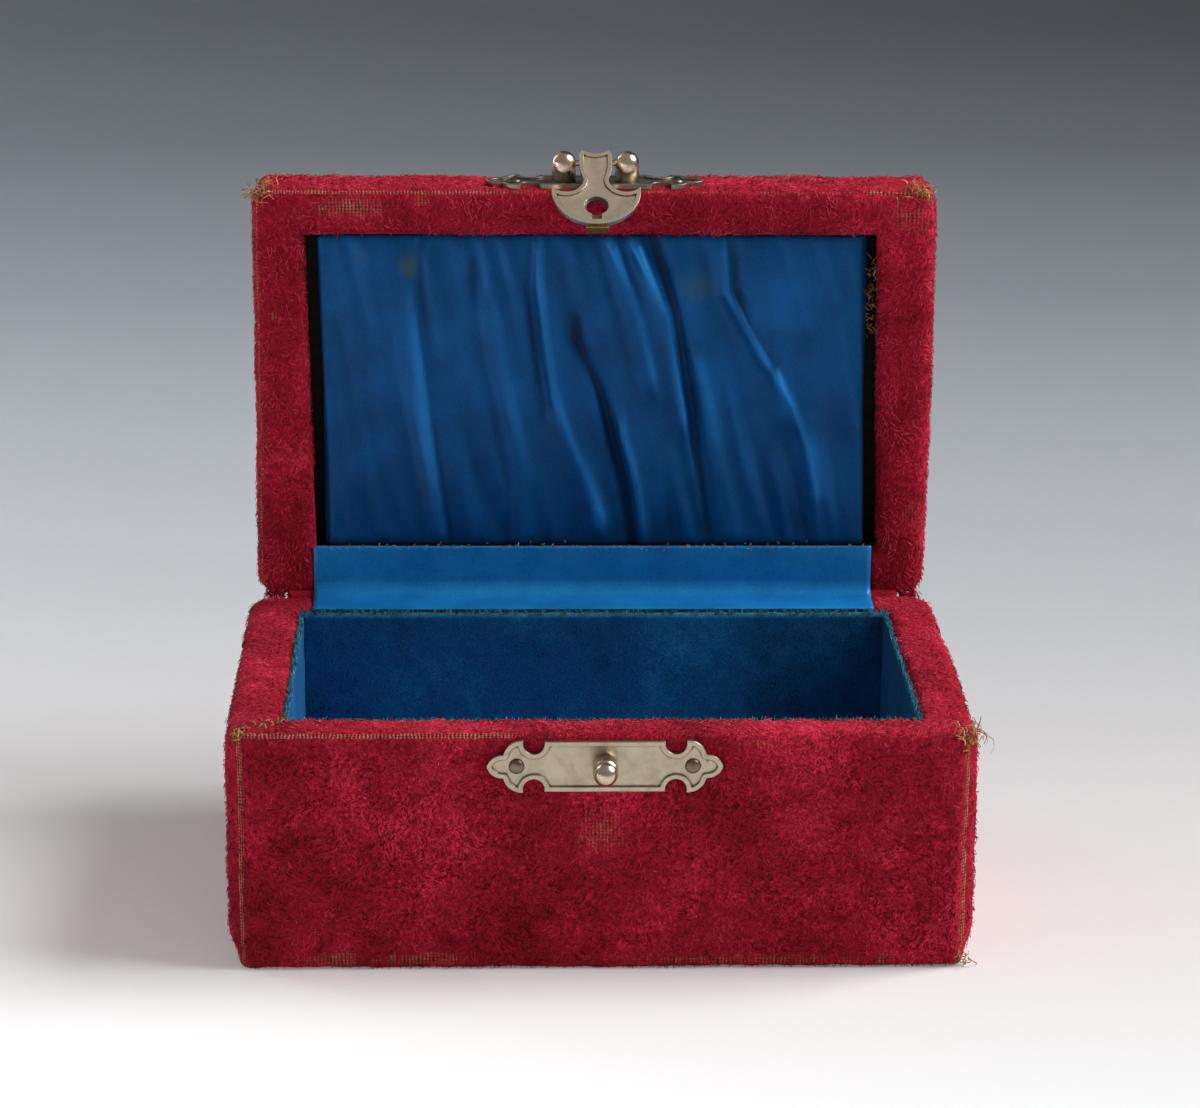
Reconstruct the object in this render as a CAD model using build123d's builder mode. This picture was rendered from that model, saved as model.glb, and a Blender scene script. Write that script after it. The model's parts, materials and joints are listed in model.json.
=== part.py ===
from build123d import *
from dataclasses import dataclass
from math import acos, asin, atan2, cos, degrees, hypot, radians, sin, sqrt, tan
import os

# A small velvet-covered trinket box, standing open with its lid upright behind it.
# Millimetres. The origin is the centre of the underside: +X right, +Y back, +Z up.
# The front, with its snap catch, faces -Y. The lid turns on the upper back edge of the base.

# Overall sizes, velvet included, at the corners
width = 115.0
depth = 71.5
base_height = 39.5
lid_height = 12.8

# The covering
velvet = 0.9            # thickness of the glued velvet
corner_radius = 1.8     # upright corners
rim_radius = 1.3        # outer edge of the rims
foot_bevel = 0.7        # edge next to the underside
inner_rim_bevel = 0.4
base_swell = 1.7        # how far the padded sides of the base stand past its corners
lid_swell = 0.6
base_turn_in = 9.0      # velvet carried over the rim and down the inside
lid_turn_in = 4.0
turn_under = 8.0        # velvet margin glued below the bottom board
card_gap = 0.3          # between that margin and the card that fills the field inside it

# The carcass
base_side_board = 5.0
base_end_board = 5.6
bottom_board_t = 3.0
lid_side_board = 6.8
lid_end_board = 6.0
top_board_t = 3.0
brad = 0.9              # the brads are cut from sheet, square in section
brad_length = 9.5
brad_clearance = 0.02
brad_inset = 24.0       # the face brads stand this far from the middle of a long wall

# The tray lining
lining = 0.8
lining_drop = 0.6       # top edge of the lining below the rim
floor_pad_t = 2.4
floor_pad_gap = 0.15
floor_pad_radius = 1.0

# The gathered satin pad of the lid
pad_side_gap = 2.3      # open gap between pad and lid wall, left and right
pad_end_gap = 0.3
pad_card = 1.5
satin = 0.5
pad_drop = 2.6          # edge of the pad below the rim of the lid
pad_crown = 1.1
fold_rise = 0.045       # rise of the satin between two creases, as a share of their spacing
fold_tops = (-29.0, -21.0, -10.5, -4.5, 5.5, 11.5, 23.5)
fold_feet = (-25.5, -15.0, -4.0, 6.0, 14.0, 20.0, 36.5)

# The hinge: a velvet cloth outside and a satin strip inside
hinge_gap = 0.2         # the axis stands this far above the rim and in front of the open lid
hinge_leg = 4.0
hinge_crease = 0.3
hinge_end_gap = 2.6     # between the ends of the outer cloth and the rounded corners
strip_side_gap = 0.4    # between the strip and the side walls of the lid
strip = 0.35
strip_recess = 0.5
strip_clearance = 0.2
strip_bend = 3.0        # inner radius where the strip bridges the corner

# The catch plates
plate = 0.5
plate_bead = 0.4        # height of the raised border over the field
bead_width = 0.8
plate_drop = 5.1        # middle of a plate to the closing edge
bar_half = 9.48
bar_height = 8.3
notch_middle = 11.1
waist = 4.2
lobe_inner = (12.74, 4.3)
lobe_shoulder = (14.7, 3.8)
lobe_cusp = (15.9, 1.95)
tip_shoulder = (17.5, 1.5)
tip_end = 18.55
pin_place = 13.8
pin = 0.8               # shank of a cut tack, square in section
pin_length = 5.6
pin_head_radius = 1.26
pin_head_height = 0.7
pin_clearance = 0.03

# The stud, the two posts and the cross pin
tenon_radius = 1.2
tenon_clearance = 0.02
stud_radius = 1.95
stud_neck_radius = 1.65
stud_head = 1.65        # height of the head above the neck
post_radius = 2.05
post_height = 5.3
post_place = 5.37
shoulder_turn = 38.0    # degrees of a turned piece's round end that are eased to a bevel
tip_flat = 0.6          # radius of the flat on its tip
axle_height = 3.2       # cross pin above the field of the upper plate
axle_radius = 0.5
axle_bore_depth = 1.2
axle_clearance = 0.03

# The hasp, drawn about the cross pin, with +y towards its horns
head_half = 2.75
horn = (2.35, 1.7)
horn_dip = 0.95
head_side = 2.0         # straight side of the head below the pin
neck = (2.1, 4.9)
neck_shoulder = (2.5, 3.4)
scoop_floor = (4.6, 7.75)
barb = (7.45, 6.65)
crescent_radius = 7.5
crescent_middle = 7.48
knuckle_radius = 1.1
knuckle_clearance = 0.05
hasp_sheet = 0.5
hasp_bead = 0.3
hasp_bead_width = 0.7
hasp_hole_clearance = 0.09
thumb_notch = (1.7, 1.0)
leaf = 0.3              # brass spring leaf behind the hasp
leaf_clearance = 0.1
leaf_play = 0.15        # along the stud, each side of the leaf
leaf_top = 1.6
leaf_neck = 3.0
leaf_disc_radius = 4.2
lip_width = 3.8
lip_reach = 16.1
lip_rise = 1.0
rest_clearance = 0.1    # between the hanging hasp and the edge of the upper plate

# Places that follow from the sizes
lid_rim_y = depth / 2 + hinge_gap
hinge_z = base_height + hinge_gap
beyond = 5.0            # how far a cutting shape runs past what it cuts


@dataclass
class Shell:
    """One half of the box. Its frame stands on the outer face, with +z towards the rim."""

    frame: Plane
    height: float
    side_board: float
    end_board: float
    face_board: float
    turn_in: float
    swell: float
    front: int          # the sign of the local y of its front wall

    @property
    def carcass(self):
        return width - 2 * velvet, depth - 2 * velvet

    @property
    def cavity(self):
        return self.carcass[0] - 2 * self.side_board, self.carcass[1] - 2 * self.end_board

    @property
    def opening(self):
        return self.cavity[0] - 2 * velvet, self.cavity[1] - 2 * velvet

    @property
    def floor(self):
        return velvet + self.face_board

    @property
    def wall_top(self):
        return self.height - velvet

    @property
    def end_rim(self):
        return self.end_board + 2 * velvet

    @property
    def up(self):
        return Axis(self.frame.origin, self.frame.z_dir)

    def at(self, x, y, z):
        """A point of the half's own frame, in the frame of the box."""
        return self.frame.from_local_coords(Vector(x, y, z))


base = Shell(Plane.XY, base_height, base_side_board, base_end_board, bottom_board_t,
             base_turn_in, base_swell, -1)
lid_origin = (0, lid_rim_y + lid_height, hinge_z + depth / 2)
lid = Shell(Plane(origin=lid_origin, x_dir=(1, 0, 0), z_dir=(0, -1, 0)), lid_height,
            lid_side_board, lid_end_board, top_board_t, lid_turn_in, lid_swell, 1)

strip_width = lid.opening[0] - 2 * strip_side_gap
hinge_width = width - 2 * (corner_radius + hinge_end_gap)

# The catch plates lie on the front faces, with their local +y towards the top of the closed box
lower_plate_frame = Plane(origin=(0, -depth / 2, base_height - plate_drop), x_dir=(1, 0, 0),
                          z_dir=(0, -1, 0))
upper_plate_frame = Plane(origin=(0, lid_rim_y + plate_drop, hinge_z + depth), x_dir=(1, 0, 0),
                          z_dir=(0, 0, 1))

# The hasp hangs until the leaf behind it lies on the near edge of the upper plate
edge_run = bar_height / 2
edge_drop = axle_height - plate_bead
leaf_back = knuckle_radius - hasp_sheet - leaf
hang = degrees(atan2(edge_drop, edge_run)
               + asin((leaf_back - rest_clearance) / hypot(edge_run, edge_drop)))
axle = upper_plate_frame.from_local_coords(Vector(0, 0, plate + axle_height))
hasp_frame = Plane(origin=axle, x_dir=(1, 0, 0),
                   z_dir=(0, -sin(radians(hang)), cos(radians(hang))))
hasp_reach = 2 * plate_drop + 2 * hinge_gap      # cross pin to stud when the box is shut
leaf_height = plate + axle_height + leaf_back    # underside of the leaf above the shut front face


def save(part, name):
    """Label a finished piece and write its file."""
    part.label = name
    export_step(part, f"parts/{name}.step")


def slab(plane, size_x, size_y, thickness, middle=(0, 0)):
    """A plain board or sheet, laid on a plane."""
    with BuildPart() as board:
        with BuildSketch(plane):
            with Locations(middle):
                Rectangle(size_x, size_y)
        extrude(amount=thickness)
    return board.part


def brad_planes(half):
    """Where the brads go in: through the end boards at the corners, and through the face board."""
    corner_x = half.carcass[0] / 2 - half.side_board / 2
    end_y = half.carcass[1] / 2
    wall = half.wall_top - half.floor
    rows = 2 if wall > 2 * brad_length else 1
    planes = []
    for end in (-1, 1):
        for side in (-1, 1):
            for row in range(rows):
                z = half.floor + wall * (row + 0.5) / rows
                planes.append(Plane(origin=half.at(side * corner_x, end * end_y, z),
                                    x_dir=half.frame.x_dir, z_dir=-end * half.frame.y_dir))
            planes.append(Plane(origin=half.at(side * brad_inset, end * (end_y - half.end_board / 2),
                                               velvet),
                                x_dir=half.frame.x_dir, z_dir=half.frame.z_dir))
    return planes


def drill(planes, radius, length):
    """Cut round holes into the piece being built."""
    with BuildSketch(*planes) as holes:
        Circle(radius)
    extrude(holes.sketch, amount=length, mode=Mode.SUBTRACT)


def punch(planes, size, length):
    """Cut the square holes of brads or pins into the piece being built."""
    with BuildSketch(*planes) as holes:
        Rectangle(size, size)
    extrude(holes.sketch, amount=length, mode=Mode.SUBTRACT)


def pin_planes(plate_frame):
    """The two pins of a catch plate, entering from the field of the plate."""
    places = []
    for side in (-1, 1):
        origin = plate_frame.from_local_coords(Vector(side * pin_place, 0, plate))
        places.append(Plane(origin=origin, x_dir=plate_frame.x_dir, z_dir=-plate_frame.z_dir))
    return places


def make_carcass(half, plate_frame, face_name, prefix):
    """The five boards of one half, drilled for their brads and the front one for the pins."""
    size_x, size_y = half.carcass
    wall = half.wall_top - half.floor
    walls = {
        "front": (size_x, half.end_board, 0, half.front * (size_y - half.end_board) / 2),
        "back": (size_x, half.end_board, 0, -half.front * (size_y - half.end_board) / 2),
        "left": (half.side_board, half.cavity[1], -(size_x - half.side_board) / 2, 0),
        "right": (half.side_board, half.cavity[1], (size_x - half.side_board) / 2, 0),
    }
    for name, (board_x, board_y, middle_x, middle_y) in walls.items():
        with BuildPart() as board:
            with BuildSketch(half.frame.offset(half.floor)):
                with Locations((middle_x, middle_y)):
                    Rectangle(board_x, board_y)
            extrude(amount=wall)
            punch(brad_planes(half), brad + 2 * brad_clearance, brad_length)
            if name == "front":
                punch(pin_planes(plate_frame), pin + 2 * pin_clearance, pin_length)
        save(board.part, f"{prefix}_{name}_board")

    with BuildPart() as face:
        with BuildSketch(half.frame.offset(velvet)):
            Rectangle(size_x, size_y)
        extrude(amount=half.face_board)
        punch(brad_planes(half), brad + 2 * brad_clearance, brad_length)
    save(face.part, face_name)

    with BuildPart() as brads:
        with BuildSketch(*brad_planes(half)):
            Rectangle(brad, brad)
        extrude(amount=brad_length)
    save(brads.part, f"{prefix}_brads")


def plan_of(half):
    """The plan of one covered half: straight front and back, sides swelling between the corners."""
    with BuildSketch(half.frame) as plan:
        with BuildLine():
            Line((-width / 2, -depth / 2), (width / 2, -depth / 2))
            ThreePointArc((width / 2, -depth / 2), (width / 2 + half.swell, 0),
                          (width / 2, depth / 2))
            Line((width / 2, depth / 2), (-width / 2, depth / 2))
            ThreePointArc((-width / 2, depth / 2), (-width / 2 - half.swell, 0),
                          (-width / 2, -depth / 2))
        make_face()
        fillet(plan.vertices(), corner_radius)
    return plan.sketch


def make_cover(half):
    """The whole velvet cover of one half, before it is parted at the corners."""
    open_x, open_y = half.opening
    with BuildPart() as cover:
        extrude(plan_of(half), amount=half.height)
        fillet(cover.faces().sort_by(half.up)[-1].edges(), rim_radius)
        chamfer(cover.faces().sort_by(half.up)[0].edges(), foot_bevel)
        with BuildSketch(half.frame.offset(velvet)):
            Rectangle(*half.carcass)
        extrude(amount=half.wall_top - velvet, mode=Mode.SUBTRACT)
        with BuildSketch(half.frame.offset(half.height - half.turn_in)):
            Rectangle(*half.cavity)
        extrude(amount=half.turn_in)
        with BuildSketch(half.frame.offset(half.height - half.turn_in)):
            Rectangle(open_x, open_y)
        extrude(amount=half.turn_in, mode=Mode.SUBTRACT)
        rim_edges = cover.edges().group_by(half.up)[-1]
        inner = rim_edges.filter_by(lambda e: max(abs(half.frame.to_local_coords(e.center()).X)
                                                  - open_x / 2,
                                                  abs(half.frame.to_local_coords(e.center()).Y)
                                                  - open_y / 2) < inner_rim_bevel / 10)
        chamfer(inner, inner_rim_bevel)
    return cover.part


def make_strips(half, cover, foot, plate_frame, prefix):
    """The four strips of velvet: each covers a wall, its rim and the top of its inner face.

    The front and back strips run over the full width, and the side strips butt against them.
    """
    end_reach = half.end_rim + beyond
    end_middle = depth / 2 - half.end_rim + end_reach / 2
    side_reach = width / 2 + beyond
    side_length = depth - 2 * half.end_rim
    grounds = {
        "front": (2 * side_reach, end_reach, (0, half.front * end_middle)),
        "back": (2 * side_reach, end_reach, (0, -half.front * end_middle)),
        "left": (side_reach, side_length, (-side_reach / 2, 0)),
        "right": (side_reach, side_length, (side_reach / 2, 0)),
    }
    for name, (ground_x, ground_y, middle) in grounds.items():
        with BuildPart() as cloth:
            add(cover)
            with BuildSketch(half.frame.offset(foot)):
                with Locations(middle):
                    Rectangle(ground_x, ground_y)
            extrude(amount=half.height - foot, mode=Mode.INTERSECT)
            if name == "front":
                punch(pin_planes(plate_frame), pin + 2 * pin_clearance, pin_length)
            if name == "back":
                with BuildSketch(Plane.YZ):
                    with Locations((depth / 2 - velvet, base_height - hinge_leg)):
                        Rectangle(velvet + hinge_gap + hinge_leg, hinge_leg + hinge_gap + velvet,
                                  align=(Align.MIN, Align.MIN))
                extrude(amount=hinge_width / 2, both=True, mode=Mode.SUBTRACT)
                with BuildSketch(half.frame.offset(half.height)):
                    with Locations((0, -half.front * (depth - half.end_rim) / 2)):
                        Rectangle(strip_width + 2 * strip_clearance, half.end_rim)
                extrude(amount=-strip_recess, mode=Mode.SUBTRACT)
        save(cloth.part, f"{prefix}_velvet_{name}")


def make_base_covering():
    cover = make_cover(base)
    with BuildPart() as opened:
        add(cover)
        with BuildSketch(base.frame):
            Rectangle(base.carcass[0] - 2 * turn_under, base.carcass[1] - 2 * turn_under)
        extrude(amount=velvet, mode=Mode.SUBTRACT)
    make_strips(base, opened.part, 0, lower_plate_frame, "base")
    card = slab(base.frame, base.carcass[0] - 2 * (turn_under + card_gap),
                base.carcass[1] - 2 * (turn_under + card_gap), velvet)
    save(card, "underside_card")


def make_lid_covering():
    cover = make_cover(lid)
    make_strips(lid, cover, velvet, upper_plate_frame, "lid")
    with BuildPart() as top_sheet:
        extrude(plan_of(lid), amount=velvet)
        chamfer(top_sheet.faces().sort_by(lid.up)[0].edges(), foot_bevel)
    save(top_sheet.part, "lid_velvet_top")


def make_tray_lining():
    """Four card panels faced with blue velvet, and a soft pad on the floor between them."""
    open_x, open_y = base.opening
    panel = base.height - lining_drop - base.floor
    level = Plane.XY.offset(base.floor)
    for name, sign in (("front", -1), ("back", 1)):
        save(slab(level, open_x, lining, panel, (0, sign * (open_y - lining) / 2)),
             f"lining_{name}")
    for name, sign in (("left", -1), ("right", 1)):
        save(slab(level, lining, open_y - 2 * lining, panel, (sign * (open_x - lining) / 2, 0)),
             f"lining_{name}")
    with BuildPart() as pad:
        with BuildSketch(level):
            Rectangle(open_x - 2 * (lining + floor_pad_gap), open_y - 2 * (lining + floor_pad_gap))
        extrude(amount=floor_pad_t)
        fillet(pad.faces().sort_by(Axis.Z)[-1].edges(), floor_pad_radius)
    save(pad.part, "tray_floor_pad")


def satin_section(local_y, share, crown):
    """One cross-section of the gathered satin: scallops between the sewn-in creases."""
    half_x = lid.opening[0] / 2 - pad_side_gap
    edge = lid.height - pad_drop
    creases = [top + (foot - top) * share for top, foot in zip(fold_tops, fold_feet)]
    stations = [-half_x, *creases, half_x]
    crests = [(x, edge + crown * pad_crown * (1 - (x / half_x) ** 2)) for x in stations]
    origin = lid.at(0, local_y, 0)
    plane = Plane(origin=origin, x_dir=lid.frame.x_dir, z_dir=-lid.frame.y_dir)
    with BuildSketch(plane) as section:
        with BuildLine():
            Line((half_x, lid.floor), (-half_x, lid.floor))
            Line((-half_x, lid.floor), crests[0])
            for left, right in zip(crests, crests[1:]):
                rise = fold_rise * (right[0] - left[0])
                middle = ((left[0] + right[0]) / 2, (left[1] + right[1]) / 2 + rise)
                ThreePointArc(left, middle, right)
            Line(crests[-1], (half_x, lid.floor))
        make_face()
    return section.sketch


def make_lid_pad():
    """Card, wadding and the gathered satin that is drawn over both."""
    pad_x = lid.opening[0] - 2 * pad_side_gap
    pad_y = lid.opening[1] - 2 * pad_end_gap
    core_x, core_y = pad_x - 2 * satin, pad_y - 2 * satin
    wadding_t = lid.height - pad_drop - satin - lid.floor - pad_card
    save(slab(lid.frame.offset(lid.floor), core_x, core_y, pad_card), "lid_pad_card")
    save(slab(lid.frame.offset(lid.floor + pad_card), core_x, core_y, wadding_t),
         "lid_pad_wadding")

    # The share runs from the top edge, next to the catch, down to the hinge
    stations = ((0, 0), (0.5, 1), (1, 0))
    sections = [satin_section(pad_y / 2 - share * pad_y, share, crown)
                for share, crown in stations]
    with BuildPart() as cover:
        loft(sections, ruled=True)
        with BuildSketch(lid.frame.offset(lid.floor)):
            Rectangle(core_x, core_y)
        extrude(amount=pad_card + wadding_t, mode=Mode.SUBTRACT)
    save(cover.part, "lid_satin")


def make_hinge():
    """The two cloths that join the halves, each drawn as its section across the hinge line."""
    back = depth / 2
    leg_end = lid_rim_y + hinge_leg
    with BuildPart() as outer_cloth:
        with BuildSketch(Plane.YZ):
            Polygon((back - velvet, base_height - hinge_leg), (back, base_height - hinge_leg),
                    (back, hinge_z), (leg_end, hinge_z), (leg_end, hinge_z + velvet),
                    (lid_rim_y + hinge_crease, hinge_z + velvet),
                    (back - velvet, base_height - hinge_crease), align=None)
        extrude(amount=hinge_width / 2, both=True)
    save(outer_cloth.part, "velvet_hinge")

    shelf = base_height - strip_recess
    wall = lid_rim_y + strip_recess
    bend_y = wall - strip - strip_bend
    bend_z = shelf + strip + strip_bend
    reach_in = depth / 2 - base.end_rim
    reach_up = hinge_z + lid.end_rim
    outer_bend = strip_bend + strip
    slant = cos(radians(45))
    with BuildPart() as inner_cloth:
        with BuildSketch(Plane.YZ):
            with BuildLine():
                Line((reach_in, shelf), (bend_y, shelf))
                ThreePointArc((bend_y, shelf),
                              (bend_y + outer_bend * slant, bend_z - outer_bend * slant),
                              (wall, bend_z))
                Line((wall, bend_z), (wall, reach_up))
                Line((wall, reach_up), (wall - strip, reach_up))
                Line((wall - strip, reach_up), (wall - strip, bend_z))
                ThreePointArc((wall - strip, bend_z),
                              (bend_y + strip_bend * slant, bend_z - strip_bend * slant),
                              (bend_y, shelf + strip))
                Line((bend_y, shelf + strip), (reach_in, shelf + strip))
                Line((reach_in, shelf + strip), (reach_in, shelf))
            make_face()
        extrude(amount=strip_width / 2, both=True)
    save(inner_cloth.part, "satin_hinge_strip")


def plate_outline(frame):
    """The stamped outline: a bar between round notches, ending in three-lobed tips."""
    with BuildSketch(frame) as outline:
        with BuildLine():
            Line((0, bar_height / 2), (bar_half, bar_height / 2))
            ThreePointArc((bar_half, bar_height / 2), (notch_middle, waist / 2), lobe_inner)
            ThreePointArc(lobe_inner, lobe_shoulder, lobe_cusp)
            ThreePointArc(lobe_cusp, tip_shoulder, (tip_end, 0))
            mirror(about=Plane.XZ)
            mirror(about=Plane.YZ)
        make_face()
    return outline


def field_of(outline, border):
    """The inner field of a stamped outline, inside its raised border."""
    with BuildSketch(outline.workplanes[0]) as field:
        offset(outline.sketch_local, amount=-border)
    return field.sketch


def make_plate(frame, tenon_places, name):
    with BuildPart() as stamping:
        extrude(plate_outline(frame).sketch, amount=plate + plate_bead)
        extrude(field_of(plate_outline(frame.offset(plate)), bead_width), amount=plate_bead,
                mode=Mode.SUBTRACT)
        drill(pin_planes(frame), pin / sqrt(2) + pin_clearance, plate)
        with BuildSketch(frame):
            with Locations(*tenon_places):
                Circle(tenon_radius + tenon_clearance)
        extrude(amount=plate, mode=Mode.SUBTRACT)
    save(stamping.part, name)

    with BuildPart() as pins:
        with BuildSketch(*pin_planes(frame)):
            Rectangle(pin, pin)
        extrude(amount=pin_length)
        with BuildSketch(*pin_planes(frame)):
            Circle(pin_head_radius)
        extrude(amount=-pin_head_height)
    return pins.part


def turning_plane(origin, across, along):
    """A drawing plane for a turned piece: local x is its radius and local y runs up its axis."""
    return Plane(origin=origin, x_dir=across, z_dir=Vector(across).cross(Vector(along)))


def dome(radius, foot, top):
    """The upper part of a turned profile: straight side, eased shoulder, round cap, small flat."""
    turn = radians(shoulder_turn)
    flat_turn = acos(tip_flat / radius)
    middle = top - radius * sin(flat_turn)
    cap = (radius * cos(turn), middle + radius * sin(turn))
    ease = (radius - cap[0]) / tan(turn)
    half_way = (turn + flat_turn) / 2
    Polyline((radius, foot), (radius, cap[1] - ease), cap)
    ThreePointArc(cap, (radius * cos(half_way), middle + radius * sin(half_way)), (tip_flat, top))
    Line((tip_flat, top), (0, top))


def make_stud():
    """The turned stud: tenon, shank, the neck that the leaf grips, and the domed head."""
    neck_start = leaf_height - leaf_play
    neck_end = leaf_height + leaf + leaf_play
    with BuildPart() as stud:
        with BuildSketch(turning_plane(lower_plate_frame.origin, lower_plate_frame.x_dir,
                                       lower_plate_frame.z_dir)):
            with BuildLine():
                Polyline((0, neck_end + stud_head), (0, 0), (tenon_radius, 0),
                         (tenon_radius, plate), (stud_radius, plate), (stud_radius, neck_start),
                         (stud_neck_radius, neck_start), (stud_neck_radius, neck_end),
                         (stud_radius, neck_end))
                dome(stud_radius, neck_end, neck_end + stud_head)
            make_face()
        revolve(axis=Axis(lower_plate_frame.origin, lower_plate_frame.z_dir))
    save(stud.part, "catch_stud")


def make_posts():
    """The two bullet-shaped posts, each with a blind hole for the cross pin."""
    frame = upper_plate_frame
    with BuildPart() as posts:
        for side in (-1, 1):
            foot = frame.from_local_coords(Vector(side * post_place, 0, 0))
            with BuildSketch(turning_plane(foot, frame.x_dir, frame.z_dir)):
                with BuildLine():
                    Polyline((0, plate + post_height), (0, 0), (tenon_radius, 0),
                             (tenon_radius, plate), (post_radius, plate))
                    dome(post_radius, plate, plate + post_height)
                make_face()
            revolve(axis=Axis(foot, frame.z_dir))
        drill([Plane(origin=axle, x_dir=(0, 1, 0), z_dir=(side, 0, 0)) for side in (-1, 1)],
              axle_radius + axle_clearance, post_place - post_radius + axle_bore_depth)
    save(posts.part, "hasp_posts")
    with BuildPart() as pin:
        with BuildSketch(Plane(origin=axle, x_dir=(0, 1, 0), z_dir=(1, 0, 0))):
            Circle(axle_radius)
        extrude(amount=post_place - post_radius + axle_bore_depth - axle_clearance, both=True)
    save(pin.part, "hasp_pin")


def hasp_outline(plane):
    """The anchor-shaped outline: horned head, narrow neck and a crescent with two barbs."""
    low = crescent_middle + crescent_radius
    swing = crescent_radius * cos(radians(45))
    with BuildSketch(plane) as outline:
        with BuildLine():
            ThreePointArc((0, horn_dip), (horn[0] / 2, (horn[1] + 2 * horn_dip) / 3), horn)
            Line(horn, (head_half, horn_dip))
            Line((head_half, horn_dip), (head_half, -head_side))
            ThreePointArc((head_half, -head_side), (neck_shoulder[0], -neck_shoulder[1]),
                          (neck[0], -neck[1]))
            ThreePointArc((neck[0], -neck[1]), (scoop_floor[0], -scoop_floor[1]),
                          (barb[0], -barb[1]))
            ThreePointArc((barb[0], -barb[1]), (swing, -crescent_middle - swing), (0, -low))
            mirror(about=Plane.YZ)
        make_face()
    return outline


def make_hasp():
    """The stamped hasp with its rolled knuckle, and the brass leaf that snaps over the stud."""
    back = knuckle_radius - hasp_sheet
    hole = stud_radius + hasp_hole_clearance
    with BuildPart() as hasp:
        extrude(hasp_outline(hasp_frame.offset(back)).sketch, amount=hasp_sheet + hasp_bead)
        extrude(field_of(hasp_outline(hasp_frame.offset(knuckle_radius)), hasp_bead_width),
                amount=hasp_bead, mode=Mode.SUBTRACT)
        across = Plane(origin=axle, x_dir=hasp_frame.y_dir, z_dir=(1, 0, 0))
        with BuildSketch(across):
            Circle(knuckle_radius)
        extrude(amount=head_half, both=True)
        with BuildSketch(across):
            Circle(axle_radius + knuckle_clearance)
        extrude(amount=head_half, both=True, mode=Mode.SUBTRACT)
        with BuildSketch(hasp_frame):
            with Locations((0, -hasp_reach)):
                Circle(hole)
            with Locations((0, -hasp_reach - hole)):
                Rectangle(thumb_notch[0], 2 * thumb_notch[1])
        extrude(amount=knuckle_radius + hasp_bead, mode=Mode.SUBTRACT)
    save(hasp.part, "hasp")

    with BuildPart() as spring:
        with BuildSketch(hasp_frame.offset(leaf_back)):
            with Locations((0, -leaf_top)):
                Rectangle(leaf_neck, hasp_reach - leaf_top, align=(Align.CENTER, Align.MAX))
            with Locations((0, -hasp_reach)):
                Circle(leaf_disc_radius)
                Rectangle(lip_width, lip_reach - hasp_reach, align=(Align.CENTER, Align.MAX))
                Circle(stud_neck_radius + leaf_clearance, mode=Mode.SUBTRACT)
        extrude(amount=leaf)
        with BuildSketch(hasp_frame.offset(leaf_back)):
            with Locations((0, -lip_reach)):
                Rectangle(lip_width, leaf, align=(Align.CENTER, Align.MIN))
        extrude(amount=leaf + lip_rise)
    save(spring.part, "hasp_leaf")


os.makedirs("parts", exist_ok=True)
make_carcass(base, lower_plate_frame, "bottom_board", "base")
make_carcass(lid, upper_plate_frame, "lid_top_board", "lid")
make_base_covering()
make_lid_covering()
make_tray_lining()
make_lid_pad()
make_hinge()
save(make_plate(lower_plate_frame, [(0, 0)], "lower_plate"), "lower_plate_pins")
save(make_plate(upper_plate_frame, [(-post_place, 0), (post_place, 0)], "upper_plate"),
     "upper_plate_pins")
make_stud()
make_posts()
make_hasp()
print(f"hasp hangs {hang:.3f} degrees below the plate; cross pin to stud {hasp_reach:.2f} mm")
print("cross pin at", [round(c, 3) for c in tuple(axle)])
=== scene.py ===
# %% [markdown]
# # A velvet trinket box
# A small box of thin boards is covered in crimson velvet and lined in blue. It stands open, with a
# nickel snap catch at the front. The boards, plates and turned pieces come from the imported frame.
# Cloth, pile, wear, folds and finishes are made here, around that frame and at its real size.

# %% Load the frame
import bmesh
import bpy
import json
from math import cos, exp, pi, radians, sin
from mathutils import Matrix, Vector, noise
from random import Random
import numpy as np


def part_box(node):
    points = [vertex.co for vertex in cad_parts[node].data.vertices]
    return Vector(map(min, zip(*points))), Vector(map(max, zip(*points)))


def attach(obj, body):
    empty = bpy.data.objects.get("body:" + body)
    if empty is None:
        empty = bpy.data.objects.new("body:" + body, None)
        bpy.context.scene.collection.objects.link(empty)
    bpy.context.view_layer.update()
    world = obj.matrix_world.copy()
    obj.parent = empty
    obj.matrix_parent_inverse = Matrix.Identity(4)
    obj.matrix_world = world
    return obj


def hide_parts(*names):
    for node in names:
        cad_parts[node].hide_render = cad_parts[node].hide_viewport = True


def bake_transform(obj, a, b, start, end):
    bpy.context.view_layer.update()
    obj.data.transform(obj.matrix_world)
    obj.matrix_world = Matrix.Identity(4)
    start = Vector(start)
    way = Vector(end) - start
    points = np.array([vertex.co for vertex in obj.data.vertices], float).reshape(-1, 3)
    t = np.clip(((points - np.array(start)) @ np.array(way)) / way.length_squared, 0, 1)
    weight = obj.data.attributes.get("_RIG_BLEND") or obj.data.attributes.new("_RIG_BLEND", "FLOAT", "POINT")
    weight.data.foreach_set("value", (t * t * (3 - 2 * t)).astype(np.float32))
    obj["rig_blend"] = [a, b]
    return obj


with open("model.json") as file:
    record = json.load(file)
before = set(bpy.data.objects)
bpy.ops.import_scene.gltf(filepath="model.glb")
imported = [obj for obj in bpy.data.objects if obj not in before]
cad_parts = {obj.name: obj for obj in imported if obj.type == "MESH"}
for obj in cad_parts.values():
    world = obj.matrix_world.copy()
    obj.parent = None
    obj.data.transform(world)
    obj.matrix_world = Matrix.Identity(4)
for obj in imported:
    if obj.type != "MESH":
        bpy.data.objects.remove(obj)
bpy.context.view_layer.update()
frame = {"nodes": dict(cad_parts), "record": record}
nodes = frame["nodes"]
mm = 0.001

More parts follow.
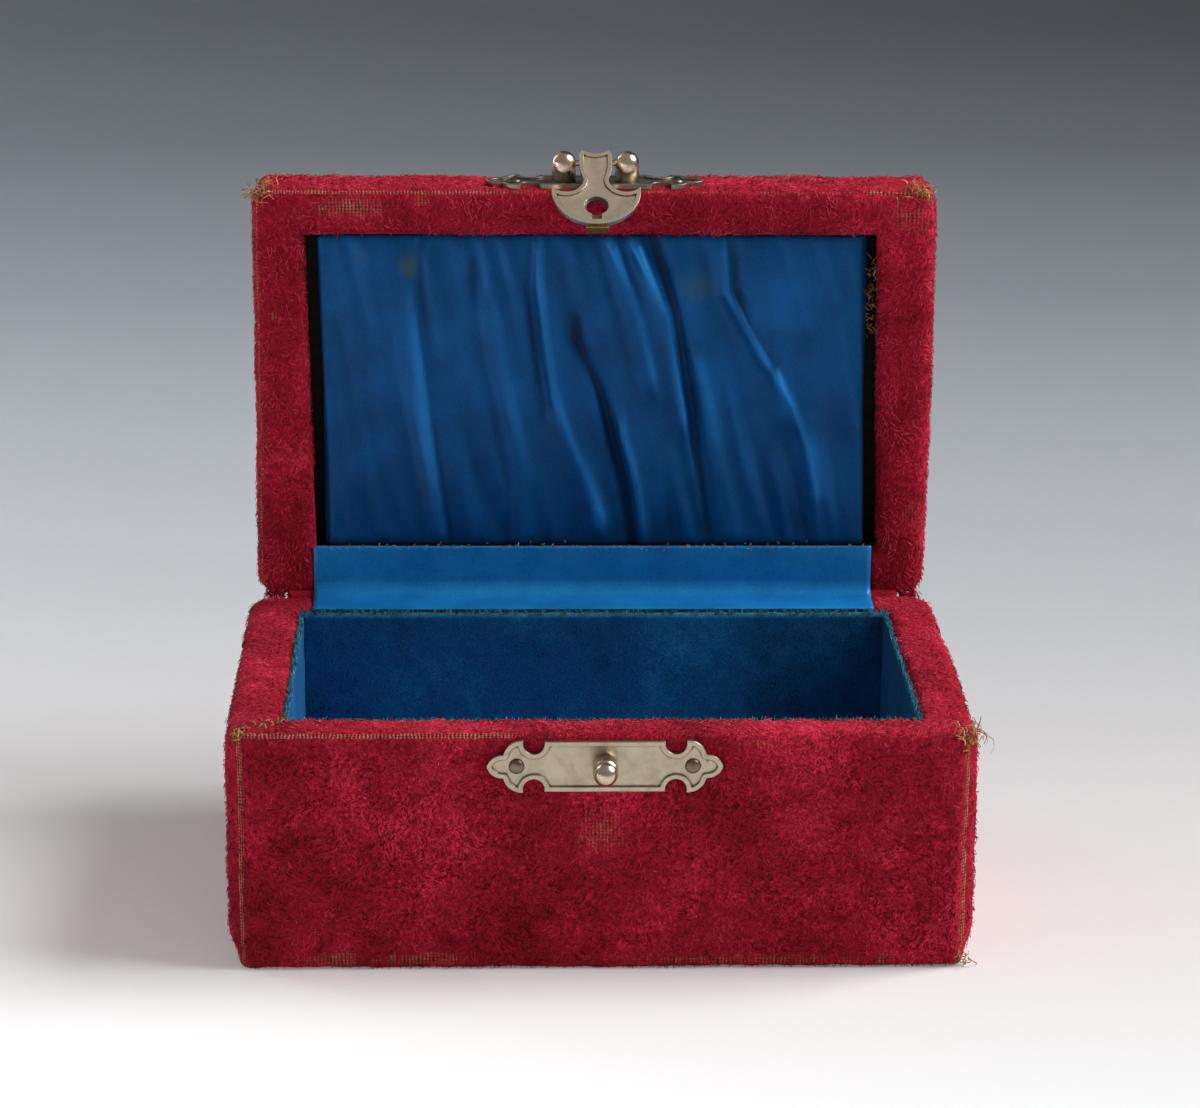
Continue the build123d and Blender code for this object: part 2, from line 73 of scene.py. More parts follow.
# %% [markdown]
# The camera stands where the photographer stood: close to the front, a little left of the middle
# and looking down by seventeen degrees. A long lens at a short distance keeps the box's sides
# almost parallel. The turn of a camera is easiest to write as three unit vectors, because they are
# the columns of its matrix: right, up, and the way back out of the lens.

# %% Camera
eye = Vector((-18.2, -581.3, 235.8)) * mm
look_down = radians(17.0)
look_right = radians(1.8)
tilt = radians(0.5)
lens = 111.33
sensor = 36.0

ahead = Vector((sin(look_right) * cos(look_down), cos(look_right) * cos(look_down), -sin(look_down)))
level = Vector((cos(look_right), -sin(look_right), 0))
upward = level.cross(ahead)
right = level * cos(tilt) + upward * sin(tilt)
turn = Matrix((right, right.cross(ahead), -ahead)).transposed().to_4x4()
lens_data = bpy.data.cameras.new("camera")
lens_data.lens = lens
lens_data.sensor_width = sensor
camera = bpy.data.objects.new("camera", lens_data)
camera.matrix_world = Matrix.Translation(eye) @ turn
bpy.context.scene.collection.objects.link(camera)
bpy.context.scene.camera = camera
bpy.context.scene.view_settings.view_transform = "Standard"
print("camera at", [round(c, 4) for c in eye])

# %% [markdown]
# Most finishes are built from the same few shader nodes, so a handful of short helpers keep each
# material readable. `put` adds a node and feeds its inputs by name, and the others wrap the nodes
# whose inputs are easier to give in order.

# %% Shader helpers


def put(tree, kind, options=None, **inputs):
    """Add a shader node; an input takes a value or the output of another node."""
    made = tree.nodes.new("ShaderNode" + kind)
    for name, value in (options or {}).items():
        setattr(made, name, value)
    for name, value in inputs.items():
        feed(made.inputs[name.replace("_", " ")], value)
    return made


def feed(socket, value):
    """Link an output to a socket, or set the socket's own value."""
    if is_output(value):
        socket.id_data.links.new(value, socket)
    else:
        socket.default_value = value


def is_output(value):
    return isinstance(value, bpy.types.NodeSocket)


def tree_of(*values):
    """The node tree that the first output among some values belongs to."""
    return next(value.id_data for value in values if is_output(value))


def feed_all(made, values):
    for index, value in values:
        feed(made.inputs[index], value)
    return made


def maths(operation, *values):
    made = put(tree_of(*values), "Math", {"operation": operation})
    return feed_all(made, enumerate(values)).outputs[0]


def weighted(*pairs):
    """The sum of values, each times its own weight."""
    total = 0.0
    for value, weight in pairs:
        total = maths("MULTIPLY_ADD", value, weight, total)
    return total


def swing(value, reach):
    """Noise around a half, made into a shift either way."""
    return maths("MULTIPLY", maths("SUBTRACT", value, 0.5), reach)


def blend_colours(share, first, second, mode="MIX"):
    made = put(tree_of(share, first, second), "Mix", {"data_type": "RGBA", "blend_type": mode})
    return feed_all(made, ((0, share), (6, first), (7, second))).outputs[2]


def grade(value, low, high, to_low=0.0, to_high=1.0, ends="SMOOTHSTEP"):
    """Map a value between two marks; the ends are soft unless they are asked for as LINEAR."""
    made = put(value.id_data, "MapRange", {"interpolation_type": ends})
    return feed_all(made, enumerate((value, low, high, to_low, to_high))).outputs[0]


def cloudy(place, size, detail=2.0, rough=0.5, warp=0.0):
    """Noise whose lumps are about this size in metres."""
    made = put(place.id_data, "TexNoise", Vector=place, Detail=detail, Roughness=rough, Distortion=warp)
    feed(made.inputs["Scale"], maths("DIVIDE", 1.0, size) if is_output(size) else 1 / size)
    return made.outputs[0]


def object_place(tree):
    return put(tree, "TexCoord").outputs["Object"]


def attribute(tree, name, output="Fac"):
    """What the mesh stores under this name."""
    return put(tree, "Attribute", {"attribute_name": name}).outputs[output]


def new_material(name, **settings):
    """A node material whose Principled shader has some inputs set, the same all over."""
    material = bpy.data.materials.new(name)
    material.use_nodes = True
    tree = material.node_tree
    tree.nodes.clear()
    surface = put(tree, "BsdfPrincipled", **settings)
    output = put(tree, "OutputMaterial")
    tree.links.new(surface.outputs[0], output.inputs["Surface"])
    return material, tree, surface


def add_bump(surface, strength, distance, height):
    bump = put(surface.id_data, "Bump", Strength=strength, Distance=distance, Height=height)
    feed(surface.inputs["Normal"], bump.outputs[0])


def rgb(red, green, blue):
    """A colour picker's 0 to 255 values as the linear colour that shaders use."""
    def linear(part):
        part /= 255
        return part / 12.92 if part <= 0.04045 else ((part + 0.055) / 1.055) ** 2.4
    return (linear(red), linear(green), linear(blue), 1)


def new_group(name, inputs, outputs):
    """A node group with named float, vector or colour sockets."""
    tree = bpy.data.node_groups.new(name, "ShaderNodeTree")
    for label, kind, value in inputs:
        socket = tree.interface.new_socket(label, in_out="INPUT", socket_type="NodeSocket" + kind)
        if value is not None:
            socket.default_value = value
    for label in outputs:
        tree.interface.new_socket(label, in_out="OUTPUT", socket_type="NodeSocketFloat")
    return tree, tree.nodes.new("NodeGroupInput").outputs, tree.nodes.new("NodeGroupOutput").inputs


def use_group(tree, group, **inputs):
    made = tree.nodes.new("ShaderNodeGroup")
    made.node_tree = group
    for name, value in inputs.items():
        feed(made.inputs[name], value)
    return made.outputs


# %% [markdown]
# Velvet is a forest of short upright threads. Seen from a hand's breadth away it has three scales:
# single curls of pile under half a millimetre, crushed patches of a few millimetres where the
# threads lean another way, and slow changes over a whole wall. A group mixes the three into one
# shade from dark to light and one height for the bump, so that the crimson outside and the blue
# tray can share it with other sizes.

# %% Pile group
pile_group, given, result = new_group(
    "crushed_pile",
    [("Place", "Vector", None), ("Curl", "Float", 0.4 * mm), ("Patch", "Float", 4 * mm)],
    ["Shade", "Height"])
curls = cloudy(given["Place"], given["Curl"], detail=2.5, rough=0.62, warp=0.5)
bent = cloudy(given["Place"], maths("MULTIPLY", given["Curl"], 2.5), detail=1.0).node.outputs["Color"]
off_line = put(pile_group, "VectorMath", {"operation": "SCALE"}, Scale=2.4 * mm)
feed(off_line.inputs[0], bent)
swayed = put(pile_group, "VectorMath", {"operation": "ADD"})
feed_all(swayed, ((0, given["Place"]), (1, off_line.outputs[0])))
drawn_out = put(pile_group, "Mapping", Vector=swayed.outputs[0], Scale=(1, 1, 0.3)).outputs[0]
wisps = cloudy(drawn_out, given["Curl"], rough=0.6)
crush = cloudy(given["Place"], given["Patch"], rough=0.55, warp=0.8)
slow = cloudy(given["Place"], maths("MULTIPLY", given["Patch"], 4.5), detail=1.0)
fine = weighted((curls, 0.55), (wisps, 0.75))
feed(result["Shade"], maths("SUBTRACT", weighted((fine, 1.0), (crush, 0.4), (slow, 0.6)), 0.65))
feed(result["Height"], weighted((fine, 1.0), (crush, 0.6)))
print("pile group:", len(pile_group.nodes), "nodes")

# %% [markdown]
# Where pile has rubbed away, the tan ground cloth shows as a grid of small upright stitches. The
# pattern must follow the cloth round every fold, so it reads an attribute named cloth that holds
# each corner's place on the flat cloth in millimetres. Two more attributes say where the wear is:
# fold is the distance to the nearest fold, and worn how much has rubbed off there.

# %% Ground cloth group
stitch_across = 0.58    # pitch of the stitch columns, in millimetres
stitch_along = 0.55

ground_group, given, result = new_group("ground_cloth", [("Jitter", "Float", 0.5)], ["Stitch", "Bare"])
cloth_place = attribute(ground_group, "cloth", "Vector")
split = put(ground_group, "SeparateXYZ", Vector=cloth_place).outputs
wobble = swing(cloudy(cloth_place, 1.6), given["Jitter"])
waves = []
for part, pitch in ((split["X"], stitch_across), (split["Y"], stitch_along)):
    waves.append(maths("COSINE", maths("MULTIPLY", maths("ADD", part, wobble), 2 * pi / pitch)))
patchy = swing(cloudy(cloth_place, 2.3), 2.2)
stitch = weighted((waves[0], 0.62), (waves[1], 0.38), (patchy, 1.0))
feed(result["Stitch"], grade(stitch, -0.2, 0.8))
fold_gap, worn, rubbed = [attribute(ground_group, name) for name in ("fold", "worn", "rubbed")]
ragged = swing(cloudy(cloth_place, 1.1, detail=3.0, rough=0.65), 1.5)
line = maths("MULTIPLY", grade(fold_gap, 0.95, 0.35), worn)
bare = maths("ADD", maths("MAXIMUM", line, rubbed), ragged)
feed(result["Bare"], grade(bare, 0.3, 0.95))

# %% [markdown]
# The crimson velvet lays the pile's shade over three reds, lets the tan stitches through where it
# is bare, and adds sheen: light that grazes the thread tips and turns rounded folds pink. Sheen,
# its tint and the specular level are the same all over, so they are set on the shader itself.

# %% Crimson velvet


def make_crimson():
    material, tree, surface = new_material(
        "crimson_velvet", Roughness=0.95, Specular_IOR_Level=0.12, Sheen_Weight=0.3,
        Sheen_Roughness=0.5, Sheen_Tint=rgb(255, 70, 96))
    pile = use_group(tree, pile_group, Place=object_place(tree), Curl=0.42 * mm, Patch=4.2 * mm)
    ground = use_group(tree, ground_group, Jitter=0.5)
    dark = blend_colours(grade(pile["Shade"], 0.15, 0.52), rgb(97, 7, 18), rgb(155, 23, 42))
    reds = blend_colours(grade(pile["Shade"], 0.48, 0.85), dark, rgb(234, 52, 80))
    tan = blend_colours(ground["Stitch"], rgb(128, 30, 40), rgb(188, 126, 94))
    feed(surface.inputs["Base Color"], blend_colours(ground["Bare"], reds, tan))
    ridges = maths("MULTIPLY", ground["Stitch"], ground["Bare"])
    add_bump(surface, 0.9, 0.35 * mm, weighted((pile["Height"], 1.0), (ridges, 0.3)))
    return material


crimson_velvet = make_crimson()

# %% [markdown]
# The covering is one cloth on each half: a margin under the bottom, the walls, the rim and a short
# flap down the inside. It could be drawn as a swept profile, but a box that is cut along the edges
# of its opening keeps a plain grid of quads everywhere, also at the corners of the rim. The grid
# is sharp at first. That makes it easy to note each corner's place on the flat cloth, and how far
# it lies from a fold, before anything is rounded.

# %% Sharp covering
cell = 0.7 * mm     # side of a quad, small enough to carry the lumps of the crushed pile


def cut_across(bm, axis, place):
    """Cut the whole mesh by one plane square to an axis."""
    square = Vector((0, 0, 0))
    square[axis] = 1
    bmesh.ops.bisect_plane(bm, geom=bm.verts[:] + bm.edges[:] + bm.faces[:],
                           plane_co=square * place, plane_no=square)


def within(point, half_x, half_y):
    return abs(point.x) < half_x and abs(point.y) < half_y


def sharp_covering(size, opening, flap, margin):
    """The covering of one half, standing on its outer face with its rim up."""
    bm = bmesh.new()
    bmesh.ops.create_cube(bm, size=1)
    bmesh.ops.scale(bm, vec=size, verts=bm.verts)
    bmesh.ops.translate(bm, vec=(0, 0, size[2] / 2), verts=bm.verts)
    for axis in (0, 1):
        for side in (-1, 1):
            cut_across(bm, axis, side * opening[axis] / 2)
            if margin:
                cut_across(bm, axis, side * (size[axis] / 2 - margin))
    holes = []
    for face in bm.faces:
        middle = face.calc_center_median()
        if middle.z > size[2] * 0.99 and within(middle, opening[0] / 2, opening[1] / 2):
            holes.append(face)
        if margin and middle.z < size[2] * 0.01 and within(middle, size[0] / 2 - margin,
                                                           size[1] / 2 - margin):
            holes.append(face)
    bmesh.ops.delete(bm, geom=holes, context="FACES")
    lip = [e for e in bm.edges if e.is_boundary and e.verts[0].co.z > size[2] * 0.99]
    turned = bmesh.ops.extrude_edge_only(bm, edges=lip)["geom"]
    turned_down = [g for g in turned if isinstance(g, bmesh.types.BMVert)]
    bmesh.ops.translate(bm, vec=(0, 0, -flap), verts=turned_down)
    bmesh.ops.recalc_face_normals(bm, faces=bm.faces)
    return bm


def fill_with_cells(bm):
    """Divide every quad into cells, one direction at a time."""
    for axis in range(3):
        runs = {edge: abs(edge.verts[0].co[axis] - edge.verts[1].co[axis]) for edge in bm.edges}
        for run in sorted({round(r, 6) for r in runs.values() if r > 1.5 * cell}):
            edges = [e for e in bm.edges
                     if abs(abs(e.verts[0].co[axis] - e.verts[1].co[axis]) - run) < 0.01 * mm]
            bmesh.ops.subdivide_edges(bm, edges=edges, cuts=round(run / cell) - 1,
                                      use_grid_fill=True)


# %% [markdown]
# Four attributes are written on the sharp grid. On the flat wall or rim where it lies, a corner
# has two coordinates left, and those are its place on the cloth.

# %% Cloth attributes


def note_cloth(bm, size, wear_of, rub_of):
    """Write where each point lies on its cloth, and how worn it is."""
    cloth = bm.loops.layers.float_vector.new("cloth")
    fold = bm.verts.layers.float.new("fold")
    worn = bm.verts.layers.float.new("worn")
    rubbed = bm.verts.layers.float.new("rubbed")
    for face in bm.faces:
        normal = face.normal
        for loop in face.loops:
            x, y, z = loop.vert.co / mm
            if abs(normal.z) > 0.5:
                loop[cloth] = Vector((x, y, 0))
            elif abs(normal.y) > 0.5:
                loop[cloth] = Vector((x, z, 0))
            else:
                loop[cloth] = Vector((y, z, 0))
    for vert in bm.verts:
        x, y, z = vert.co
        gaps = sorted((size[0] / 2 - abs(x), size[1] / 2 - abs(y), size[2] - z, z))
        vert[fold] = gaps[1] / mm
        vert[worn] = wear_of(vert.co / mm)
        vert[rubbed] = rub_of(vert.co / mm)


# %% [markdown]
# Then the folds are rounded. A point that lies within a radius of a fold sits on a square; moved
# on the line to the centre of the rounding until it is a radius away, it sits on a circle. The
# same step rounds the upright corners in plan and the rim and foot in section. After that the
# side walls swell between their corners, where the cloth stands off the boards, and slow noise
# along the normals gives the crushed, lumpy surface that a bump alone can't show at the outline.

# %% Rounding and lumps


def to_circle(across, upright):
    """Move a point of a square's quarter onto the quarter circle inside it."""
    reach = (across * across + upright * upright) ** 0.5
    share = max(across, upright) / reach if reach > 0 else 1
    return across * share, upright * share


def round_folds(bm, size, hinge_side, foot):
    for vert in bm.verts:
        x, y, z = vert.co
        side_x, side_y = (1 if x > 0 else -1), (1 if y > 0 else -1)
        corner = hinge_corner_radius if side_y == hinge_side else corner_radius
        centre_x, centre_y = size[0] / 2 - corner, size[1] / 2 - corner
        out_x, out_y = abs(x) - centre_x, abs(y) - centre_y
        if out_x > 0 and out_y > 0:
            out_x, out_y = to_circle(out_x, out_y)
            outward = Vector((side_x * out_x, side_y * out_y, 0)).normalized()
            depth_in = corner - (out_x * out_x + out_y * out_y) ** 0.5
        elif out_x > out_y:
            outward = Vector((side_x, 0, 0))
            depth_in = corner - out_x
        else:
            outward = Vector((0, side_y, 0))
            depth_in = corner - out_y
        if out_x > 0 and out_y > 0:
            x, y = side_x * (centre_x + out_x), side_y * (centre_y + out_y)
        rim = rim_radius + (side_rim_radius - rim_radius) * abs(outward.x)
        for radius, level, gap in ((rim, size[2], size[2] - z), (foot, 0, z)):
            if depth_in < radius and gap < radius:
                new_in, new_gap = to_circle(radius - depth_in, radius - gap)
                shift = outward * (new_in - (radius - depth_in))
                x, y = x + shift.x, y + shift.y
                z += ((radius - gap) - new_gap) * (-1 if level else 1)
        vert.co = Vector((x, y, z))


def round_mouth(bm, size, opening, radius):
    """Round the inner edge of the rim, where the cloth turns down inside."""
    for vert in bm.verts:
        beyond = Vector((abs(vert.co.x) - opening[0] / 2, abs(vert.co.y) - opening[1] / 2))
        over = max(beyond)
        drop = size[2] - vert.co.z
        if over < radius and drop < radius:
            new_in, new_up = to_circle(radius - max(over, 0), radius - drop)
            axis = 0 if beyond.x > beyond.y else 1
            vert.co[axis] += (radius - max(over, 0) - new_in) * (1 if vert.co[axis] > 0 else -1)
            vert.co.z = size[2] - radius + new_up


def smooth_step(share):
    """From 0 to 1, with soft ends."""
    share = min(max(share, 0), 1)
    return share * share * (3 - 2 * share)


def swell_sides(bm, size, opening, swell, standing):
    """Push the side walls out, by padding in their middle and by the pile beside a worn fold."""
    inner, outer = opening[0] / 2, size[0] / 2
    for vert in bm.verts:
        side = 0 if vert.co.x < 0 else 1
        share = min(max((abs(vert.co.x) - inner) / (outer - inner), 0), 1)
        padding = swell * (1 - (2 * vert.co.y / size[1]) ** 2)
        beside_fold = smooth_step((size[1] / 2 - abs(vert.co.y)) / (3 * mm))
        beside_fold *= smooth_step((vert.co.z + 0.5 * mm) / (7 * mm))
        vert.co.x += max(padding, standing[side] * beside_fold) * share * (1 if side else -1)


def lift_pile(bm, size, height, plate):
    """Raise the front and back pile off the worn folds, except where the plate presses it down."""
    fold = bm.verts.layers.float["fold"]
    half_plate, plate_foot, plate_side = plate
    for vert in bm.verts:
        if abs(vert.co.y) > size[1] / 2 - 0.3 * mm:
            out = max(abs(vert.co.x) - half_plate, plate_foot - vert.co.z) / (1.2 * mm)
            pressed = smooth_step(out) if vert.co.y * plate_side > 0 else 1
            share = smooth_step(vert[fold] / 2.6) * pressed
            vert.co.y += height * share * (1 if vert.co.y > 0 else -1)


def crush_pile(bm, size, opening, seed):
    """Raise and sink the surface by slow noise, except on the flap inside."""
    bm.normal_update()
    sizes_and_heights = ((13 * mm, 0.30 * mm), (4.2 * mm, 0.16 * mm), (1.6 * mm, 0.15 * mm))
    moves = []
    for vert in bm.verts:
        inside = within(vert.co, opening[0] / 2 + 0.1 * mm, opening[1] / 2 + 0.1 * mm)
        lift = 0.0
        for lump, height in sizes_and_heights:
            lift += height * noise.noise(vert.co / lump + Vector((seed, lump / mm, 0)))
        moves.append(vert.normal * (0 if inside and vert.co.z > 2 * mm else lift))
    for vert, move in zip(bm.verts, moves):
        vert.co += move


def skew_mouth(bm, opening, lean):
    """Lean the opening a little, as the hand-laid cloth does."""
    for vert in bm.verts:
        across = abs(vert.co.x) - opening[0] / 2
        share = 1 - min(max(across / (6 * mm), 0), 1)
        vert.co.x += lean * share * vert.co.y / (opening[1] / 2)


def press_under_strip(bm, size, opening, side):
    """Sink the back rim where the hinge strip is glued over it."""
    half_strip = (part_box("satin_hinge_strip")[1].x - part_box("satin_hinge_strip")[0].x) / 2
    sunk = 1.1 * mm
    for vert in bm.verts:
        beside = (abs(vert.co.x) - half_strip) / mm
        behind = (opening[1] / 2 - side * vert.co.y) / mm
        if vert.co.z > size[2] - 3 * mm and behind < 0.2:
            share = min(max(0.3 - beside, 0), 1) * min(max(0.4 - behind, 0), 1)
            vert.co.z = min(vert.co.z, size[2]) - sunk * share


# %% [markdown]
# Every finished piece goes the same way into the scene: its mesh becomes an object at the origin,
# is shaded smooth, takes its material and says which body it rides on and which node it replaces.

# %% Finished pieces


def finish_piece(name, bm, material, body, slot, *replaced):
    mesh = bpy.data.meshes.new(name)
    bm.to_mesh(mesh)
    bm.free()
    mesh.materials.append(material)
    mesh.shade_smooth()
    piece = bpy.data.objects.new(name, mesh)
    bpy.context.scene.collection.objects.link(piece)
    if body:
        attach(piece, body)
    if replaced:
        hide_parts(*replaced)
    print(f"{name}: {len(mesh.polygons)} faces")
    return piece


def add_modifier(piece, kind, **settings):
    added = piece.modifiers.new(kind.lower(), kind)
    for name, value in settings.items():
        setattr(added, name, value)
    return added


# %% [markdown]
# Wear follows use. The upright front corners and the front edge have rubbed down to the ground
# cloth, the bottom edge in patches, and one patch lies below the catch, where the thumb presses.
# A spot is an ellipse on the front of its half: its middle, its half width and half height, and
# how bare it is.

# %% Where the base is worn
width, depth = 115 * mm, 71.5 * mm
velvet = 0.9 * mm
front_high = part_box("base_velvet_front")[1]
lining_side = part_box("lining_left")[0]
lining_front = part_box("lining_front")[0]
base_size = Vector((width, depth, front_high.z))
base_opening = (-2 * lining_side.x, -2 * lining_front.y)
corner_radius, hinge_corner_radius = 1.8 * mm, 2.6 * mm
rim_radius, side_rim_radius, mouth_radius, foot_radius = 1.3 * mm, 2.2 * mm, 1.5 * mm, 0.9 * mm

base_spots = [
    (-0.5, 23.5, 5.0, 5.5, 0.62),
    (-42.5, 1.6, 5.0, 1.6, 0.8),
    (-28.5, 1.8, 8.5, 1.5, 0.75),
    (24.0, 1.2, 24.0, 1.3, 0.7),
    (45.0, 1.4, 3.0, 1.6, 0.7),
    (24.0, 38.2, 9.0, 1.2, 0.45),
]


def spot_strength(spots, u, v):
    """How bare the strongest spot leaves this place."""
    strongest = 0.0
    for middle_u, middle_v, half_u, half_v, strength in spots:
        reach = ((u - middle_u) / half_u) ** 2 + ((v - middle_v) / half_v) ** 2
        strongest = max(strongest, strength * exp(-reach * 0.9))
    return strongest


def base_wear(place):
    """How worn a fold of the base is here; places are in millimetres."""
    x, y, z = place
    if y > -33:
        return 0.35
    if abs(x) > 55.5:
        return 1.0
    if z > 36:
        return 1.0 if x < -14 else 0.35
    return 0.35 + 0.3 * noise.noise(Vector((x / 9, 0, 3)))


def base_rub(place):
    x, y, z = place
    return spot_strength(base_spots, x, z) if y < -35.6 else 0.0


# %% A covering


def make_covering(size, opening, flap, margin, hinge_side, swell, standing, lifted, plate, wear_of,
                  rub_of, seed):
    """One half's covering; plate is the half width, foot and side of the catch plate that presses it."""
    bm = sharp_covering(size, opening, flap, margin)
    fill_with_cells(bm)
    bm.normal_update()
    note_cloth(bm, size, wear_of, rub_of)
    round_folds(bm, size, hinge_side, foot_radius)
    lift_pile(bm, size, lifted, plate)
    round_mouth(bm, size, opening, mouth_radius)
    swell_sides(bm, size, opening, swell, standing)
    crush_pile(bm, size, opening, seed)
    return bm


# %% [markdown]
# Colour and bump can't break an outline, and crushed velvet is fuzzy at every edge. So loose curls
# of pile are grown as real geometry. A hair system would be the quick way, but hair isn't a mesh
# that can be handed on. Instead each curl starts as one tiny triangle on the cloth, and all of them
# are extruded together, each along its own bends. A seeded draw keeps them the same on every run.

# %% Curls


def grow_curls(roots, thickness, bends):
    """Extrude one small triangle at each root into a tapering curl.

    A root is a place, the normal there, a lean along the surface, a length, a tone and a twist.
    A bend is a share of the length forward, one outward, and the taper.
    """
    bm = bmesh.new()
    number = bm.verts.layers.int.new("number")
    tone = bm.verts.layers.float.new("tone")
    faces = []
    for index, (place, normal, lean, length, shade, twist) in enumerate(roots):
        across = normal.cross(lean)
        up = (lean + normal).normalized().cross(across)
        corners = []
        for angle in (90, 210, 330):
            offset = across * cos(radians(angle)) + up * sin(radians(angle))
            corner = bm.verts.new(place + offset * thickness / 2)
            corner[number] = index
            corner[tone] = shade
            corners.append(corner)
        faces.append(bm.faces.new(corners))
    for step, (forward, outward, taper) in enumerate(bends):
        faces = bmesh.ops.extrude_discrete_faces(bm, faces=faces)["faces"]
        for face in faces:
            place, normal, lean, length, shade, twist = roots[face.verts[0][number]]
            ahead = Matrix.Rotation(twist * step, 3, normal) @ lean
            shift = (ahead * forward + normal * outward) * length
            middle = face.calc_center_median()
            for vert in face.verts:
                vert.co = middle + (vert.co - middle) * taper + shift
    bm.verts.layers.int.remove(number)
    return bm


def facing(normal):
    """The axis and the sign of the largest part of a normal."""
    axis = max(range(3), key=lambda i: abs(normal[i]))
    return axis, (1 if normal[axis] > 0 else -1)


# the plates and hinge cloths that lie on the velvet, and how far from the middle each covers it
cover_gap = Vector((0.5, 0.5, 0.5)) * mm
covers = []
for node, half in (("lower_plate", 9.4 * mm), ("upper_plate", 9.4 * mm),
                   ("satin_hinge_strip", 1), ("velvet_hinge", 1)):
    low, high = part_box(node)
    covers.append((low - cover_gap, high + cover_gap, half))


def is_covered(place):
    """Whether a plate or a hinge cloth lies over this place."""
    for low, high, half in covers:
        if low.x < place.x < high.x and low.y < place.y < high.y and low.z < place.z < high.z:
            return abs(place.x) < half
    return False


def scatter_roots(bm, sides, inside, share, length, painted_light_shift, seed):
    """Roots of curls on the cells that face some sides; share is the curls per cell."""
    draw = Random(seed)
    fold, worn, rubbed = [bm.verts.layers.float[name] for name in ("fold", "worn", "rubbed")]
    roots = []
    for face in bm.faces:
        middle = face.calc_center_median()
        if facing(face.normal) not in sides or len(face.verts) != 4 or inside(middle):
            continue
        if is_covered(middle):
            continue
        corner = face.verts[0]
        bare = max(corner[rubbed], corner[worn] if corner[fold] < 1.0 else 0)
        nap = Vector((0, 0, -1)) if abs(face.normal.z) < 0.7 else Vector((0.4, -1, 0))
        nap = (nap - face.normal * nap.dot(face.normal)).normalized()
        for _ in range(int(share * (1 - 0.9 * bare) + draw.random())):
            a, b, c, d = [v.co for v in face.verts]
            u, v = draw.random(), draw.random()
            place = a.lerp(b, u).lerp(d.lerp(c, u), v)
            swirl = 3.2 * noise.noise(place / (6 * mm)) + draw.uniform(-0.8, 0.8)
            tone = 0.5 + 0.5 * noise.noise(place / (3.5 * mm)) + draw.uniform(-0.32, 0.32)
            # painted light: each side's curls are shifted lighter or darker, the rims lighter and the front
            # darker
            tone += painted_light_shift + 0.45 * noise.noise(place / (13 * mm))
            roots.append((place - face.normal * 0.05 * mm, face.normal.copy(),
                          Matrix.Rotation(swirl, 3, face.normal) @ nap,
                          length * draw.uniform(0.6, 1.4), tone, draw.uniform(-0.9, 0.9)))
    return roots


def make_curl_finish(name, dark, middle, light):
    material, tree, surface = new_material(name, Roughness=0.85, Specular_IOR_Level=0.15)
    speckle = swing(cloudy(object_place(tree), 0.6 * mm), 0.6)
    mixed = maths("ADD", attribute(tree, "tone"), speckle)
    low = blend_colours(grade(mixed, 0.0, 0.55), dark, middle)
    feed(surface.inputs["Base Color"], blend_colours(grade(mixed, 0.5, 1.05), low, light))
    return material


crimson_curls = make_curl_finish("crimson_curls", rgb(92, 7, 19), rgb(166, 26, 47), rgb(228, 70, 96))
lying_curl = ((0.25, 0.22, 0.9), (0.45, 0.08, 0.8), (0.35, -0.06, 0.3))
curl_length, curl_thickness = 0.9 * mm, 0.16 * mm


def grow_pile(bm, body, inside, plan):
    """Grow a half's pile; the plan gives each piece's name, sides, curls per cell, painted light (a shift of
    tone, lighter on the rims and darker on the front) and seed.
    """
    for name, sides, share, painted_light_shift, seed in plan:
        roots = scatter_roots(bm, sides, inside, share, curl_length, painted_light_shift, seed)
        curls = grow_curls(roots, curl_thickness, lying_curl)
        finish_piece(name, curls, crimson_curls, body, "crimson_velvet")


# %% The velvet of the base
lower_low, lower_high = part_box("lower_plate")
base_bm = make_covering(base_size, base_opening, flap=9 * mm, margin=8.9 * mm, hinge_side=1,
                        swell=1.7 * mm, standing=(2.0 * mm, 1.5 * mm), lifted=0.35 * mm,
                        plate=(lower_high.x, lower_low.z, -1), wear_of=base_wear, rub_of=base_rub,
                        seed=4.0)
press_under_strip(base_bm, base_size, base_opening, 1)
base_bm.normal_update()


def in_the_tray(place):
    return within(place, base_opening[0] / 2 + 0.2 * mm, base_opening[1] / 2 + 0.2 * mm)


left, right_hand, front, back, down, up = (0, -1), (0, 1), (1, -1), (1, 1), (2, -1), (2, 1)
# the fourth number is painted light: the rim's curls lighter, the front's darker
grow_pile(base_bm, "base", in_the_tray, [
    ("pile_front", [front], 1.15, -0.16, 21),
    ("pile_rim", [up], 1.1, 0.2, 22),
    ("pile_sides", [left, right_hand], 0.7, 0.0, 23),
    ("pile_back", [back], 0.6, 0.0, 24),
])
base_cloth = finish_piece("velvet_base", base_bm, crimson_velvet, "base", "crimson_velvet",
                          "base_velvet_front", "base_velvet_back", "base_velvet_left",
                          "base_velvet_right")
add_modifier(base_cloth, "SOLIDIFY", thickness=velvet, offset=-1)

# %% [markdown]
# The lid is covered the same way, but its outer face is closed and it stands upright behind the
# base. It is modelled lying on that face, like the base, and then stood up by one matrix, whose
# columns say where its own x, y and z axes go.

# %% The velvet of the lid
lid_low, lid_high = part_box("lid_velvet_top")
rim_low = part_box("lid_velvet_front")[0]
lid_size = Vector((width, depth, lid_high.y - rim_low.y))
lid_opening = (97.8 * mm, 55.9 * mm)
lid_middle_z = (lid_low.z + lid_high.z) / 2
stand_up = Matrix(((1, 0, 0, 0), (0, 0, -1, lid_high.y), (0, 1, 0, lid_middle_z), (0, 0, 0, 1)))
lid_spots = [
    (-40.5, 32.8, 8.0, 2.0, 0.85),
    (-28.5, 34.0, 2.5, 1.2, 0.7),
    (53.5, 31.5, 4.5, 3.5, 0.6),
    (-54.5, 14.0, 1.6, 1.2, 0.6),
    (55.0, -21.0, 2.2, 4.0, 0.55),
]


